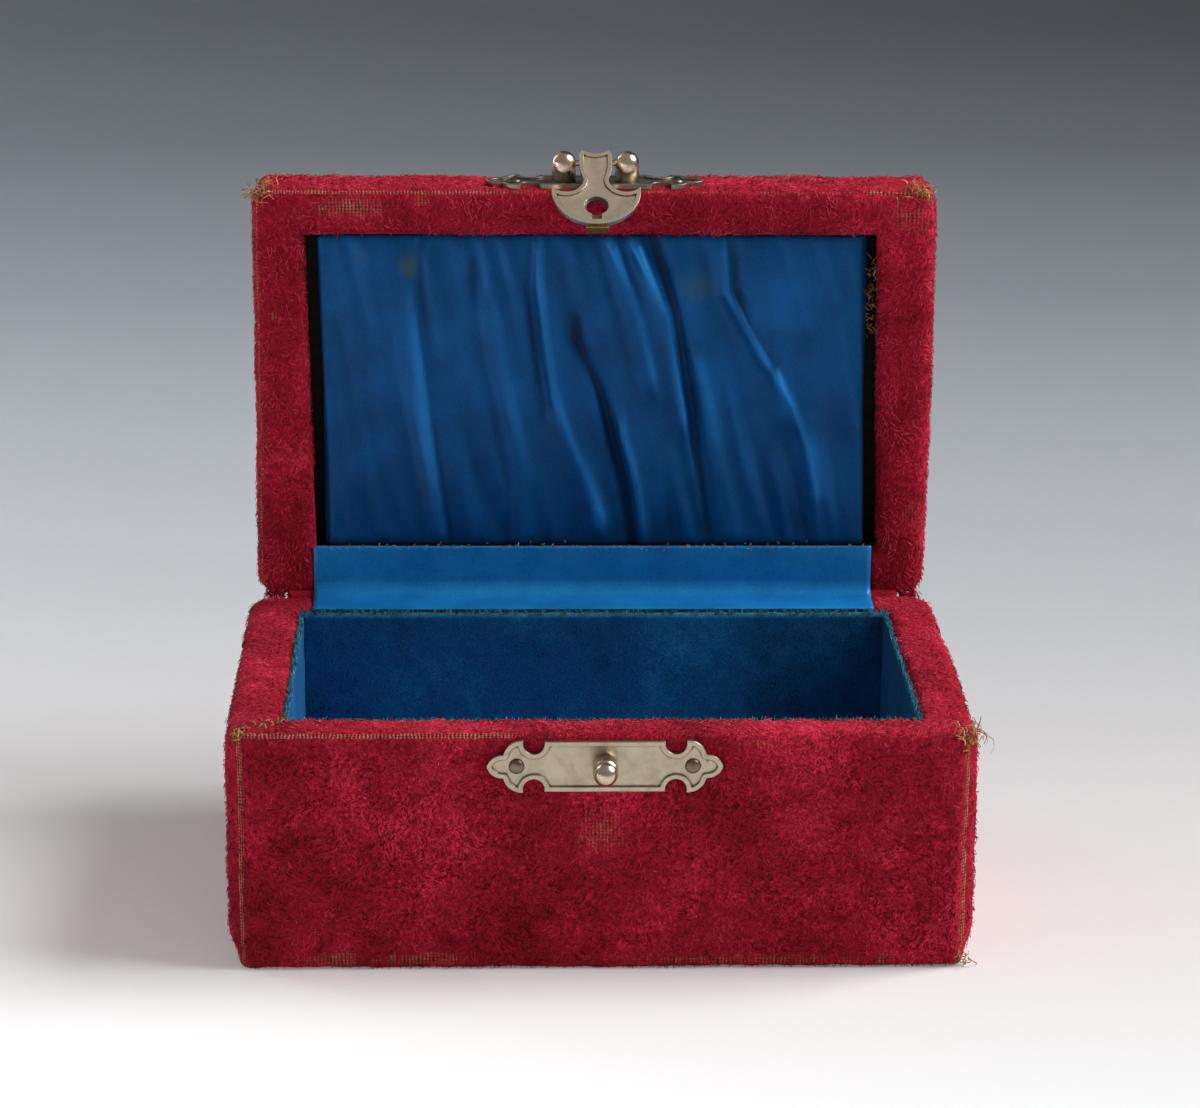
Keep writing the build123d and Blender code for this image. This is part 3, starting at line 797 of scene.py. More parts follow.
def lid_wear(place):
    x, y, z = place
    if y > 33:
        return 0.85 if x < -14 or x > 47 else 0.5
    if abs(x) > 55.5:
        return 0.75 if x < 0 else 0.15 + 0.3 * (y > 18)
    return 0.35 + 0.35 * (y < -34)


def lid_rub(place):
    x, y, z = place
    return spot_strength(lid_spots, x, y) if z > lid_size.z / mm - 0.1 else 0.0


lid_bm = make_covering(lid_size, lid_opening, flap=4 * mm, margin=0, hinge_side=-1,
                       swell=0.6 * mm, standing=(0.6 * mm, 0.5 * mm), lifted=0.3 * mm,
                       plate=(lower_high.x, 0, 1), wear_of=lid_wear, rub_of=lid_rub, seed=11.0)
mouth_lean = -0.8 * mm
skew_mouth(lid_bm, lid_opening, mouth_lean)
press_under_strip(lid_bm, lid_size, lid_opening, -1)
lid_bm.transform(stand_up)
lid_bm.normal_update()


def in_the_lid(place):
    return (abs(place.x) < lid_opening[0] / 2 - 0.4 * mm
            and abs(place.z - lid_middle_z) < lid_opening[1] / 2 + 0.2 * mm)


# the fourth number is painted light: the rim and walls lighter than the top
grow_pile(lid_bm, "lid", in_the_lid, [
    ("pile_lid_rim", [front], 1.1, 0.16, 31),
    ("pile_lid_walls", [left, right_hand, up, down], 0.9, 0.1, 32),
    ("pile_lid_top", [back], 0.5, 0.0, 33),
])
lid_cloth = finish_piece("velvet_lid", lid_bm, crimson_velvet, "lid", "crimson_velvet",
                         "lid_velvet_front", "lid_velvet_back", "lid_velvet_left",
                         "lid_velvet_right", "lid_velvet_top")
add_modifier(lid_cloth, "SOLIDIFY", thickness=velvet, offset=-1)

# %% [markdown]
# The tray is lined with card panels faced in short blue velvet. Their top edges are coloured a paler
# dusty teal, a painted highlight for the light caught by the cut pile that stands up there as a fringe.
# Each panel is a box with its cells filled and its edges eased, so that it can hold the pile's small lumps.

# %% Blue velvet


def make_lining_velvet():
    material, tree, surface = new_material(
        "blue_velvet", Roughness=0.95, Specular_IOR_Level=0.1, Sheen_Weight=0.3, Sheen_Roughness=0.4,
        Sheen_Tint=rgb(120, 200, 255))
    place = object_place(tree)
    pile = use_group(tree, pile_group, Place=place, Curl=0.3 * mm, Patch=5 * mm)
    deep = blend_colours(grade(pile["Shade"], 0.2, 0.5), rgb(12, 50, 88), rgb(20, 88, 142))
    blues = blend_colours(grade(pile["Shade"], 0.5, 0.85), deep, rgb(36, 130, 184))
    height = put(tree, "SeparateXYZ", Vector=place).outputs["Z"]
    ragged = weighted((height, 1.0), (cloudy(place, 0.8 * mm, detail=3.0), 1.6 * mm))
    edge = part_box("lining_back")[1].z
    # painted highlight: the top edge of each panel turns a paler teal, for the light caught by the pile
    # there
    lit_top_edge = grade(ragged, edge - 0.3 * mm, edge + 1.2 * mm)
    feed(surface.inputs["Base Color"], blend_colours(lit_top_edge, blues, rgb(66, 128, 142)))
    add_bump(surface, 0.7, 0.25 * mm, pile["Height"])
    return material


blue_velvet = make_lining_velvet()

# %% Tray panels and floor pad


def soft_slab(low, high, ease, spacing, lump, lump_height):
    """A box between two corners, with eased edges, cells and a lumpy surface."""
    bm = bmesh.new()
    bmesh.ops.create_cube(bm, size=1)
    bmesh.ops.scale(bm, vec=high - low, verts=bm.verts)
    bmesh.ops.translate(bm, vec=(low + high) / 2, verts=bm.verts)
    for axis in range(3):
        cuts = round((high - low)[axis] / spacing) - 1
        edges = [e for e in bm.edges
                 if abs(e.verts[0].co[axis] - e.verts[1].co[axis]) > (high - low)[axis] * 0.9]
        if cuts > 0:
            bmesh.ops.subdivide_edges(bm, edges=edges, cuts=cuts, use_grid_fill=True)
    middle = (low + high) / 2
    core = (high - low) / 2 - Vector((ease, ease, ease))
    for vert in bm.verts:
        offset = vert.co - middle
        inner = Vector([min(max(o, -c), c) for o, c in zip(offset, core)])
        out = offset - inner
        if out.length > 0:
            out *= max(abs(part) for part in out) / out.length
        vert.co = middle + inner + out
    bm.normal_update()
    moves = [vert.normal * (lump_height * noise.noise(vert.co / lump)) for vert in bm.verts]
    for vert, move in zip(bm.verts, moves):
        vert.co += move
    return bm


for side in ("front", "back", "left", "right"):
    low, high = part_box("lining_" + side)
    panel = soft_slab(low, high, 0.3 * mm, 1.0 * mm, 3 * mm, 0.12 * mm)
    finish_piece("tray_panel_" + side, panel, blue_velvet, "base", "blue_velvet", "lining_" + side)

low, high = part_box("tray_floor_pad")
floor_pad = finish_piece("floor_pad", soft_slab(low, high, 1.0 * mm, 1.2 * mm, 6 * mm, 0.2 * mm),
                         blue_velvet, "base", "blue_velvet", "tray_floor_pad")

# %% [markdown]
# The pad in the lid is satin gathered over wadding. Its creases aren't even: each starts at the
# top edge, leans to the right and opens or closes on the way down. So every crease is a short list
# of places on the pad, and the height of the satin near it is a smooth hill or dip across that
# line. Places are in millimetres, x from the middle and z from the table.

# %% Satin folds
# sharpness across the fold, height, and the line from top to bottom
satin_folds = [
    (1.5, 0.55, [(-29.5, 103), (-30.3, 93), (-29.8, 84), (-28.8, 70), (-26.7, 50)]),
    (0.9, -0.50, [(-28.4, 103), (-29.4, 93), (-28.8, 84), (-27.8, 70), (-25.6, 50)]),
    (1.5, -0.60, [(-20.5, 96), (-19.6, 89), (-18.7, 80), (-17.0, 71), (-15.3, 59), (-15.0, 48)]),
    (2.4, 0.45, [(-18.0, 89), (-17.0, 80), (-14.6, 71), (-13.0, 59), (-12.8, 48)]),
    (1.0, -0.60, [(-9.9, 103), (-10.4, 94), (-9.8, 84), (-8.6, 74)]),
    (1.6, 0.75, [(-8.8, 103), (-9.0, 94), (-8.0, 84), (-6.4, 74), (-4.7, 69), (-2.0, 61), (0, 54)]),
    (1.1, -0.80, [(-2.5, 85), (0.8, 76), (3.2, 67), (5.4, 58), (6.3, 48)]),
    (1.0, 0.60, [(4.6, 68), (6.1, 63), (7.2, 55), (7.9, 48)]),
    (1.3, 0.60, [(3.0, 103), (4.0, 100), (6.8, 94), (8.7, 86), (10.0, 79)]),
    (1.2, 0.80, [(6.9, 103), (8.0, 100), (10.8, 94.5), (13.0, 89), (14.2, 81), (15.5, 72)]),
    (1.2, -0.75, [(10.5, 103), (12.2, 97), (14.3, 89), (15.6, 80), (17.0, 69), (18.4, 59), (20.0, 48)]),
    (2.2, 0.45, [(18.2, 80), (18.9, 76), (20.0, 59), (21.5, 50)]),
    (1.0, -0.60, [(24.2, 103), (24.4, 94), (26.6, 88), (30.6, 81)]),
    (1.3, 0.85, [(22.9, 103), (23.2, 93), (25.3, 89), (29.3, 82), (34.0, 74), (36.5, 66), (37.9, 58)]),
    (1.6, -0.55, [(33.0, 66), (35.0, 59), (37.2, 48)]),
]


def line_place(points, z):
    """The x of a fold at this height, and how present the fold is there."""
    if z >= points[0][1]:
        x, beyond = points[0][0], z - points[0][1]
    elif z <= points[-1][1]:
        x, beyond = points[-1][0], points[-1][1] - z
    else:
        x, beyond = None, 0
        for (x_above, z_above), (x_below, z_below) in zip(points, points[1:]):
            if z_below <= z <= z_above:
                share = (z_above - z) / (z_above - z_below)
                x = x_above + (x_below - x_above) * share
                break
    return x, exp(-(beyond / 4.0) ** 2)


def fold_sum(x, z):
    """What all hills and dips add up to at this place, in millimetres."""
    total = 0.0
    for spread, height, points in satin_folds:
        fold_x, presence = line_place(points, z)
        total += height * presence * exp(-(abs(x - fold_x) / spread) ** 1.5)
    return total


# %% Satin finish
# old stains on the pad: their x, z and reach in millimetres, and how strong they are
stains = [(-39.8, 99.8, 3.2, 0.55), (-32.0, 98.0, 2.2, 0.5), (17.0, 94.0, 4.5, 0.35)]


def stain_satin(colour, place, soft, pad_face):
    for x, z, reach, strength in stains:
        spot = put(place.id_data, "VectorMath", {"operation": "DISTANCE"})
        feed_all(spot, ((0, place), (1, (x * mm, pad_face, z * mm))))
        ragged = maths("ADD", spot.outputs["Value"], swing(soft, 6 * mm))
        mark = maths("MULTIPLY", grade(ragged, reach * mm, 0.0), strength)
        colour = blend_colours(mark, colour, rgb(70, 92, 60))
    return colour


def make_satin(name, colour_deep, colour_lit, pad_face=None):
    """A smooth satin with fine ribs across its warp; a pad's also has painted highlights on its crests,
    painted shade in its creases and a few stains.
    """
    material, tree, surface = new_material(
        name, Roughness=0.42, Metallic=0.3, Specular_IOR_Level=0.15, Sheen_Weight=0.08,
        Sheen_Roughness=0.3, Sheen_Tint=rgb(110, 180, 255))
    place = object_place(tree)
    across = put(tree, "SeparateXYZ", Vector=place).outputs["X"]
    threads = maths("SINE", maths("MULTIPLY", across, 2 * pi / (0.32 * mm)))
    soft = cloudy(place, 9 * mm)
    fine = cloudy(place, 0.4 * mm, detail=3.0, rough=0.7)
    shade = grade(weighted((soft, 0.6), (fine, 0.5)), 0.2, 0.9)
    colour = blend_colours(shade, colour_deep, colour_lit)
    if pad_face is not None:
        # painted highlight on the crests of the folds and painted shade in their hollows, from the crest
        # attribute
        crest = attribute(tree, "crest")
        colour = blend_colours(grade(crest, 0.1, 1.0, 0.0, 0.85), colour, rgb(40, 140, 220))
        colour = blend_colours(grade(crest, -0.1, -0.75, 0.0, 0.8), colour, rgb(0, 22, 52))
        colour = stain_satin(colour, place, soft, pad_face)
    feed(surface.inputs["Base Color"], colour)
    add_bump(surface, 0.25, 0.06 * mm, weighted((threads, 0.25), (fine, 0.8)))
    return material


pad_low, pad_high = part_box("lid_satin")
pad_satin = make_satin("blue_satin", rgb(3, 58, 106), rgb(10, 92, 158), pad_low.y)
# painted light: the strip's satin is a lighter copy of the pad's, for the light it catches where it faces up
lit_strip_satin = make_satin("hinge_satin", rgb(14, 108, 178), rgb(40, 156, 226))

# %% Gathered pad


def make_gathered_pad():
    """A crowned box of satin: the front carries the folds, and the sides pull in behind."""
    spacing = 0.55 * mm
    half_x, half_z = (pad_high.x - pad_low.x) / 2, (pad_high.z - pad_low.z) / 2
    middle_z = (pad_high.z + pad_low.z) / 2
    edge_y, back_y = pad_low.y + 1.2 * mm, pad_high.y
    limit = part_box("lid_pad_wadding")[0].y - 0.15 * mm
    slack = 0.7 * mm
    bm = soft_slab(Vector((-half_x, edge_y, middle_z - half_z)),
                   Vector((half_x, back_y, middle_z + half_z)), 0.9 * mm, spacing, 5 * mm, 0)
    crest = bm.verts.layers.float.new("crest")
    for vert in bm.verts:
        if vert.normal.y > -0.3:
            continue
        inside_x = min(1, (half_x - abs(vert.co.x)) / (4 * mm))
        inside_z = min(1, (half_z - abs(vert.co.z - middle_z)) / (2.5 * mm))
        crown = (1 - (vert.co.x / half_x) ** 4) * (1 - ((vert.co.z - middle_z) / half_z) ** 4)
        x, z = vert.co.x / mm, vert.co.z / mm
        along_fold = x + 0.18 * (z - 76)
        pleats = noise.noise(Vector((along_fold / 2.6, z / 24, 7.5)))
        # the crest also paints highlight and shade into the satin's colour
        vert[crest] = fold_sum(x, z) + 0.45 * pleats
        folds = (1.8 * vert[crest] + 0.35 * noise.noise(Vector((x / 7, z / 16, 1.5)))) * mm
        vert.co.y -= 1.1 * mm * crown + folds * max(inside_x, 0) * (0.35 + 0.65 * max(inside_z, 0))
        clear = limit - vert.co.y
        if clear < slack:
            vert.co.y = limit - slack * exp((clear - slack) / slack)
        vert.co.x += mouth_lean * (vert.co.z - middle_z) / half_z
    return bm


pad = finish_piece("gathered_pad", make_gathered_pad(), pad_satin, "lid", "blue_satin", "lid_satin")

# %% [markdown]
# Two cloths make the hinge: a satin strip inside and a velvet one outside, both glued to base and
# lid. They bend between the bodies, so they are blended instead of ridden. Each is drawn as its
# own section across the hinge line and extruded along it, with enough cells in the bend.

# %% Hinge cloths
strip_low, strip_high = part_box("satin_hinge_strip")
hinge_low, hinge_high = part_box("velvet_hinge")


def cloth_along_x(profile, half_length, spacing):
    """A strip of cloth whose section is a chain of points in the yz plane."""
    bm = bmesh.new()
    chain = [bm.verts.new((-half_length, y, z)) for y, z in profile]
    edges = [bm.edges.new(pair) for pair in zip(chain, chain[1:])]
    count = round(2 * half_length / spacing)
    step = Vector((2 * half_length / count, 0, 0))
    for _ in range(count):
        made = bmesh.ops.extrude_edge_only(bm, edges=edges)["geom"]
        bmesh.ops.translate(bm, vec=step, verts=[g for g in made if isinstance(g, bmesh.types.BMVert)])
        edges = [g for g in made if isinstance(g, bmesh.types.BMEdge)]
    bmesh.ops.recalc_face_normals(bm, faces=bm.faces)
    return bm


def even_chain(points, spacing):
    """Points at even steps along a chain of straight runs."""
    chain = [Vector(points[0])]
    for start, end in zip(points, points[1:]):
        start, end = Vector(start), Vector(end)
        count = max(1, round((end - start).length / spacing))
        chain += [start.lerp(end, (i + 1) / count) for i in range(count)]
    return [tuple(p) for p in chain]


def bend_chain(low_y, high_z, shelf, wall, radius, turns):
    """Along a shelf, round a bend and up a wall."""
    bend = [(wall - radius + radius * sin(radians(90) * i / turns),
             shelf + radius - radius * cos(radians(90) * i / turns)) for i in range(turns + 1)]
    return [(low_y, shelf)] + bend + [(wall, high_z)]


strip_t = 0.35 * mm
strip_lift = 0.9 * mm       # the strip reaches up to the pad
strip_top = strip_high.z + strip_lift
strip_line = even_chain(bend_chain(strip_low.y, strip_top, strip_low.z + strip_t,
                                   strip_high.y - strip_t, 3.0 * mm, 8), 0.5 * mm)
strip_bm = cloth_along_x(strip_line, (strip_high.x - strip_low.x) / 2, 0.8 * mm)
for vert in strip_bm.verts:
    ripple = 0.12 * mm * noise.noise(Vector((vert.co.x / (9 * mm), vert.co.z / (3 * mm), 2)))
    vert.co.z += abs(ripple) * 0.6
    vert.co.y -= abs(ripple)
inner_strip = finish_piece("hinge_strip", strip_bm, lit_strip_satin, None, "blue_satin",
                           "satin_hinge_strip")
add_modifier(inner_strip, "SOLIDIFY", thickness=strip_t, offset=0)
hinge_y, hinge_z = 35.75 * mm, 39.7 * mm
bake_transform(inner_strip, "base", "lid", start=(0, hinge_y - 3.2 * mm, hinge_z - 0.4 * mm),
         end=(0, hinge_y + 0.2 * mm, hinge_z + 3.0 * mm))

back_y = hinge_y
outer_line = even_chain([(back_y - 0.45 * mm, hinge_low.z), (back_y - 0.45 * mm, hinge_z - 0.5 * mm),
                         (back_y + 0.1 * mm, hinge_z + 0.2 * mm), (back_y + 0.7 * mm, hinge_z + 0.45 * mm),
                         (hinge_high.y, hinge_z + 0.45 * mm)], 0.5 * mm)
outer_bm = cloth_along_x(outer_line, (hinge_high.x - hinge_low.x) / 2, 0.9 * mm)
outer_hinge = finish_piece("hinge_velvet", outer_bm, crimson_velvet, None, "crimson_velvet",
                           "velvet_hinge")
add_modifier(outer_hinge, "SOLIDIFY", thickness=velvet, offset=0)
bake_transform(outer_hinge, "base", "lid", start=(0, back_y - 0.3 * mm, hinge_z - 0.5 * mm),
         end=(0, back_y + 0.7 * mm, hinge_z + 0.5 * mm))

# %% [markdown]
# The metal is stamped and turned nickel, a little tarnished. A stamping's edges are rolled, so its
# piece is a copy of the imported node with merged vertices, flat faces joined up again and a small
# Bevel modifier. The turned stud and posts are spun from their profiles, with a finer curve than
# the frame has.

# %% Aged metal group, with painted shade in corners
tarnish_and_shade_group, given, result = new_group(
    "metal_tarnish_and_shade", [("Place", "Vector", None), ("Amount", "Float", 0.5)], ["Dull", "Height"])
blotch = cloudy(given["Place"], 2.2 * mm, detail=4.0, rough=0.62, warp=0.4)
specks = cloudy(given["Place"], 0.5 * mm, detail=3.0, rough=0.6)
# painted shade: ambient occlusion darkens the metal in its corners and grooves
corners = put(tarnish_and_shade_group, "AmbientOcclusion", {"only_local": True, "samples": 8}, Distance=0.45 * mm)
painted_corner_shade = grade(corners.outputs["AO"], 0.92, 0.55)
feed(result["Dull"], weighted((grade(blotch, 0.3, 0.85), given["Amount"]),
                              (grade(specks, 0.6, 0.8), 0.15), (painted_corner_shade, 1.1)))
feed(result["Height"], weighted((blotch, 0.5), (specks, 1.0)))


def make_metal(name, clean, tarnish_and_shade, roughness, amount, strength, darkened_from=None):
    """Metal with tarnish blotches and painted shade in its corners; from some height up its colour can be
    dark grey-brown all over.
    """
    material, tree, surface = new_material(name, Metallic=1.0)
    place = object_place(tree)
    age = use_group(tree, tarnish_and_shade_group, Place=place, Amount=amount)
    # tarnish blotches and painted corner shade both blend towards the darker colour
    colour = blend_colours(age["Dull"], clean, tarnish_and_shade)
    if darkened_from is not None:
        height = put(tree, "SeparateXYZ", Vector=place).outputs["Z"]
        colour = blend_colours(grade(height, darkened_from, darkened_from + 0.3 * mm), colour,
                               rgb(104, 92, 78))
    feed(surface.inputs["Base Color"], colour)
    feed(surface.inputs["Roughness"], grade(age["Dull"], 0.0, 1.0, roughness, roughness + 0.3))
    add_bump(surface, strength, 0.05 * mm, age["Height"])
    return material


lip_height = 1.2 * mm       # only the lip of the leaf shows its brass; above it the leaf is coloured dark grey-brown
nickel = make_metal("nickel_sheet", rgb(186, 172, 150), rgb(112, 98, 78), 0.34, 0.4, 0.15)
hasp_nickel = make_metal("hasp_nickel", rgb(244, 228, 202), rgb(122, 104, 78), 0.3, 0.4, 0.15)
turned_nickel = make_metal("turned_nickel", rgb(214, 198, 176), rgb(112, 80, 56), 0.22, 0.5, 0.12)
dull_nickel = make_metal("dull_nickel", rgb(150, 140, 124), rgb(84, 70, 56), 0.42, 0.7, 0.25)
dark_pin = make_metal("dark_pins", rgb(132, 116, 96), rgb(48, 38, 30), 0.34, 0.7, 0.4)
brass = make_metal("brass_leaf", rgb(166, 134, 84), rgb(84, 60, 34), 0.5, 0.6, 0.2,
                   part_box("hasp_leaf")[0].z + lip_height)

# %% Stampings


def stamped(name, node, material, body, slot, ease):
    bm = bmesh.new()
    bm.from_mesh(nodes[node].data)
    bmesh.ops.remove_doubles(bm, verts=bm.verts, dist=0.002 * mm)
    bmesh.ops.dissolve_limit(bm, angle_limit=radians(1.5), verts=bm.verts, edges=bm.edges)
    piece = finish_piece(name, bm, material, body, slot, node)
    add_modifier(piece, "BEVEL", width=ease, segments=3, limit_method="ANGLE",
                 angle_limit=radians(35), harden_normals=False)
    piece.data.set_sharp_from_angle(angle=radians(40))
    return piece


stamped("lower_catch_plate", "lower_plate", nickel, "base", "nickel_sheet", 0.16 * mm)
stamped("upper_catch_plate", "upper_plate", dull_nickel, "lid", "nickel_sheet", 0.16 * mm)
stamped("hasp_stamping", "hasp", hasp_nickel, "hasp", "nickel_sheet", 0.12 * mm)
stamped("spring_leaf", "hasp_leaf", brass, "hasp", "brass_leaf", 0.04 * mm)

# %% Turned pieces


def turned(profile, foot, axis, steps=56):
    """A bmesh of a profile spun about an axis; each point is its radius and its height."""
    bm = bmesh.new()
    chain = [bm.verts.new((radius, 0, height)) for radius, height in profile]
    edges = [bm.edges.new(pair) for pair in zip(chain, chain[1:])]
    bmesh.ops.spin(bm, geom=chain + edges, cent=(0, 0, 0), axis=(0, 0, 1), angle=2 * pi,
                   steps=steps, use_merge=True)
    bmesh.ops.remove_doubles(bm, verts=bm.verts, dist=0.001 * mm)
    bmesh.ops.recalc_face_normals(bm, faces=bm.faces)
    aim = Vector((0, 0, 1)).rotation_difference(Vector(axis)).to_matrix().to_4x4()
    bm.transform(Matrix.Translation(foot) @ aim)
    return bm


def round_end(radius, top, bends=10):
    """A bullet end: a straight side that turns into a near half round."""
    return [(radius * cos(radians(90) * i / bends), top - radius + radius * sin(radians(90) * i / bends))
            for i in range(bends + 1)]


def take_in(both, one):
    """Move the mesh of one bmesh into another."""
    spare = bpy.data.meshes.new("spare")
    one.to_mesh(spare)
    one.free()
    both.from_mesh(spare)
    bpy.data.meshes.remove(spare)


stud_low, stud_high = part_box("catch_stud")
stud_radius = (stud_high.x - stud_low.x) / 2
stud_top = stud_high.y - stud_low.y
plate_face, spigot = 0.5 * mm, 1.2 * mm
neck = stud_radius - 0.3 * mm
neck_start, neck_end = stud_top - 2.3 * mm, stud_top - 1.7 * mm
stud_profile = [(0, 0), (spigot, 0), (spigot, plate_face), (stud_radius, plate_face),
                (stud_radius, neck_start), (neck, neck_start + 0.1 * mm), (neck, neck_end - 0.1 * mm),
                (stud_radius, neck_end)] + round_end(stud_radius, stud_top)[1:]
stud_foot = Vector(((stud_low.x + stud_high.x) / 2, stud_high.y, (stud_low.z + stud_high.z) / 2))
finish_piece("snap_stud", turned(stud_profile, stud_foot, (0, -1, 0)), turned_nickel,
             "base", "turned_nickel", "catch_stud")

posts_low, posts_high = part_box("hasp_posts")
post_radius = (posts_high.y - posts_low.y) / 2
post_top = posts_high.z - posts_low.z
post_profile = [(0, 0), (spigot, 0), (spigot, plate_face), (post_radius, plate_face)]
post_profile += round_end(post_radius, post_top)
posts = bmesh.new()
for middle_x in (posts_low.x + post_radius, posts_high.x - post_radius):
    foot = Vector((middle_x, (posts_low.y + posts_high.y) / 2, posts_low.z))
    take_in(posts, turned(post_profile, foot, (0, 0, 1)))
finish_piece("bullet_posts", posts, turned_nickel, "lid", "turned_nickel", "hasp_posts")

# %% Cut tacks
tack_head, tack_head_height, tack_shank, tack_point = 1.26 * mm, 0.7 * mm, 0.4 * mm, 0.8 * mm


def make_tacks(name, node, body, along, places):
    """Two tacks with beaten, domed heads; along is the axis that their heads face."""
    low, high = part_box(node)
    both = bmesh.new()
    for place in places:
        length = abs((high - low).dot(Vector(along)))
        neck = length - tack_head_height
        dome = [(tack_head * cos(radians(15 * i)), neck + tack_head_height * sin(radians(15 * i)))
                for i in range(6)]
        profile = [(0, 0), (tack_shank, tack_point), (tack_shank, neck)] + dome + [(0, length)]
        one = turned(profile, place, along, steps=24)
        for vert in one.verts:
            vert.co += Vector((1, 1, 1)) * 0.06 * mm * noise.noise(vert.co / (0.9 * mm))
        take_in(both, one)
    finish_piece(name, both, dark_pin, body, "dark_pins", node)


low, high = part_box("lower_plate_pins")
pin_x = high.x - (high.z - low.z) / 2
make_tacks("lower_tacks", "lower_plate_pins", "base", (0, -1, 0),
           [Vector((side * pin_x, high.y, (low.z + high.z) / 2)) for side in (-1, 1)])
low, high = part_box("upper_plate_pins")
make_tacks("upper_tacks", "upper_plate_pins", "lid", (0, 0, 1),
           [Vector((side * pin_x, (low.y + high.y) / 2, low.z)) for side in (-1, 1)])

# %% [markdown]
# At some corners the cloth has frayed and its tan warp stands out in tufts, and the tray's cut
# velvet has a teal fringe along its top edges. Both grow from the same curls as the pile, with
# other bends. Crumbs of glue and thread lie in the dark gap beside the satin, a few threads stand
# along the strip's top edge, and pile closes the corners beside the hinge.

# %% Frayed threads
loose_thread = ((0.3, 0.3, 1.0), (0.35, 0.12, 0.95), (0.3, -0.12, 0.9), (0.2, -0.28, 0.6))
standing_pile = ((0.12, 0.5, 0.85), (0.2, 0.35, 0.4))
thread_thickness = 0.2 * mm


def thread_roots(tufts, seed):
    """Roots of loose threads.

    A tuft is a place, where it points, a count, a spread and a length, in millimetres.
    """
    draw = Random(seed)
    roots = []
    for place, outward, count, spread, length in tufts:
        normal = Vector(outward).normalized()
        aside = normal.orthogonal().normalized()
        for _ in range(count):
            lean = Matrix.Rotation(draw.uniform(-pi, pi), 3, normal) @ aside
            offset = Vector([draw.gauss(0, spread) for _ in range(3)])
            roots.append(((Vector(place) + offset) * mm, normal, lean,
                          length * draw.uniform(0.5, 1.2) * mm, draw.random(), draw.uniform(-1.1, 1.1)))
    return roots


def grow_threads(name, tufts, seed, bends, finish, body):
    threads = grow_curls(thread_roots(tufts, seed), thread_thickness, bends)
    finish_piece(name, threads, finish, body, "crimson_velvet")


base_tufts = [((57.0, -35.2, 38.9), (0.7, -0.4, 0.5), 34, 1.1, 1.8),
              ((58.2, -35.6, 39.7), (1, 0, 0.6), 4, 0.2, 3.4),
              ((57.2, -35.4, 1.2), (0.7, -0.7, 0), 18, 0.5, 1.5),
              ((-57.2, -35.6, 39.2), (-0.4, -0.6, 0.6), 9, 0.4, 1.4)]
base_tufts += [((-57 + 1.3 * i, -34.5 + 0.9 * i, 39.5), (0, 0, 1), 6, 0.35, 1.5) for i in range(6)]
lid_tufts = [((-56.6, 36.6, 110.7), (-0.6, -0.4, 0.6), 46, 0.8, 2.2),
             ((54.8, 36.6, 110.7), (0.4, -0.4, 0.8), 44, 0.9, 2.2)]
gap_crumbs = [((47.6, 39.5, 86 + 1.5 * i), (-0.2, -1, 0), 7, 0.5, 1.3) for i in range(9)]
strip_edge = [((1.2 * i, 35.4, strip_top / mm), (0, -0.6, 0.5), 2, 0.25, 0.5) for i in range(-39, 40)]
corner_tufts = [((side * x, 36.4, 39.9), (0.3 * side, -0.5, -0.4), 130, 0.55, 1.0)
                for side in (-1, 1) for x in (54.2, 55.8)]
tan_threads = make_curl_finish("tan_threads", rgb(112, 70, 40), rgb(172, 122, 74), rgb(214, 176, 122))
grow_threads("frayed_base", base_tufts, 41, loose_thread, tan_threads, "base")
grow_threads("frayed_lid", lid_tufts + gap_crumbs + strip_edge, 42, loose_thread, tan_threads, "lid")
grow_threads("pile_corners", corner_tufts, 44, standing_pile, crimson_curls, "lid")

# %% Fringe of the tray


def fringe_roots(per_mm, length, seed):
    draw = Random(seed)
    roots = []
    for side in ("front", "back", "left", "right"):
        low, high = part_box("lining_" + side)
        for _ in range(round(max(high.x - low.x, high.y - low.y) / mm * per_mm)):
            place = Vector((draw.uniform(low.x, high.x), draw.uniform(low.y, high.y), high.z - 0.15 * mm))
            lean = Vector((draw.uniform(-1, 1), draw.uniform(-1, 1), 0)).normalized()
            roots.append((place, Vector((0, 0, 1)), lean, length * draw.uniform(0.5, 1.2), draw.random(),
                          draw.uniform(-0.6, 0.6)))
    return roots


teal_fringe = make_curl_finish("teal_fringe", rgb(10, 62, 84), rgb(40, 108, 128), rgb(104, 170, 176))
fringe = grow_curls(fringe_roots(9, 0.9 * mm, 43), 0.14 * mm, standing_pile)
finish_piece("tray_fringe", fringe, teal_fringe, "base", "blue_velvet")

# %% [markdown]
# What lies under the cloth keeps its imported shape and gets its own finish: pine with long grain,
# pale card, wadding and bright cut brads. The lid's boards are coloured nearly black, as painted
# shade for the deep gap beside the satin where they show. The other imported nodes take the finish of their
# material slots.

# %% Hidden finishes


def make_pine(name, dark, light):
    material, tree, surface = new_material(name, Roughness=0.7)
    stretched = put(tree, "Mapping", Vector=object_place(tree), Scale=(0.08, 1, 1)).outputs[0]
    rings = put(tree, "TexWave", {"wave_type": "BANDS", "bands_direction": "DIAGONAL"},
                Vector=stretched, Scale=260.0, Distortion=5.0, Detail=3.0)
    shade = weighted((rings.outputs["Fac"], 0.6), (cloudy(stretched, 0.5 * mm, detail=4.0), 0.4))
    feed(surface.inputs["Base Color"], blend_colours(shade, dark, light))
    add_bump(surface, 0.3, 0.1 * mm, shade)
    return material


def make_plain(name, dark, light, lump, roughness, strength):
    """Card or wadding: two shades over soft noise, with a fibrous bump."""
    material, tree, surface = new_material(name, Roughness=roughness)
    place = object_place(tree)
    broad = cloudy(place, lump, detail=4.0, rough=0.6)
    fibre = cloudy(place, lump / 12, detail=3.0, rough=0.7, warp=1.0)
    shade = grade(weighted((broad, 0.6), (fibre, 0.4)), 0.3, 0.7)
    feed(surface.inputs["Base Color"], blend_colours(shade, dark, light))
    add_bump(surface, strength, 0.1 * mm, fibre)
    return material


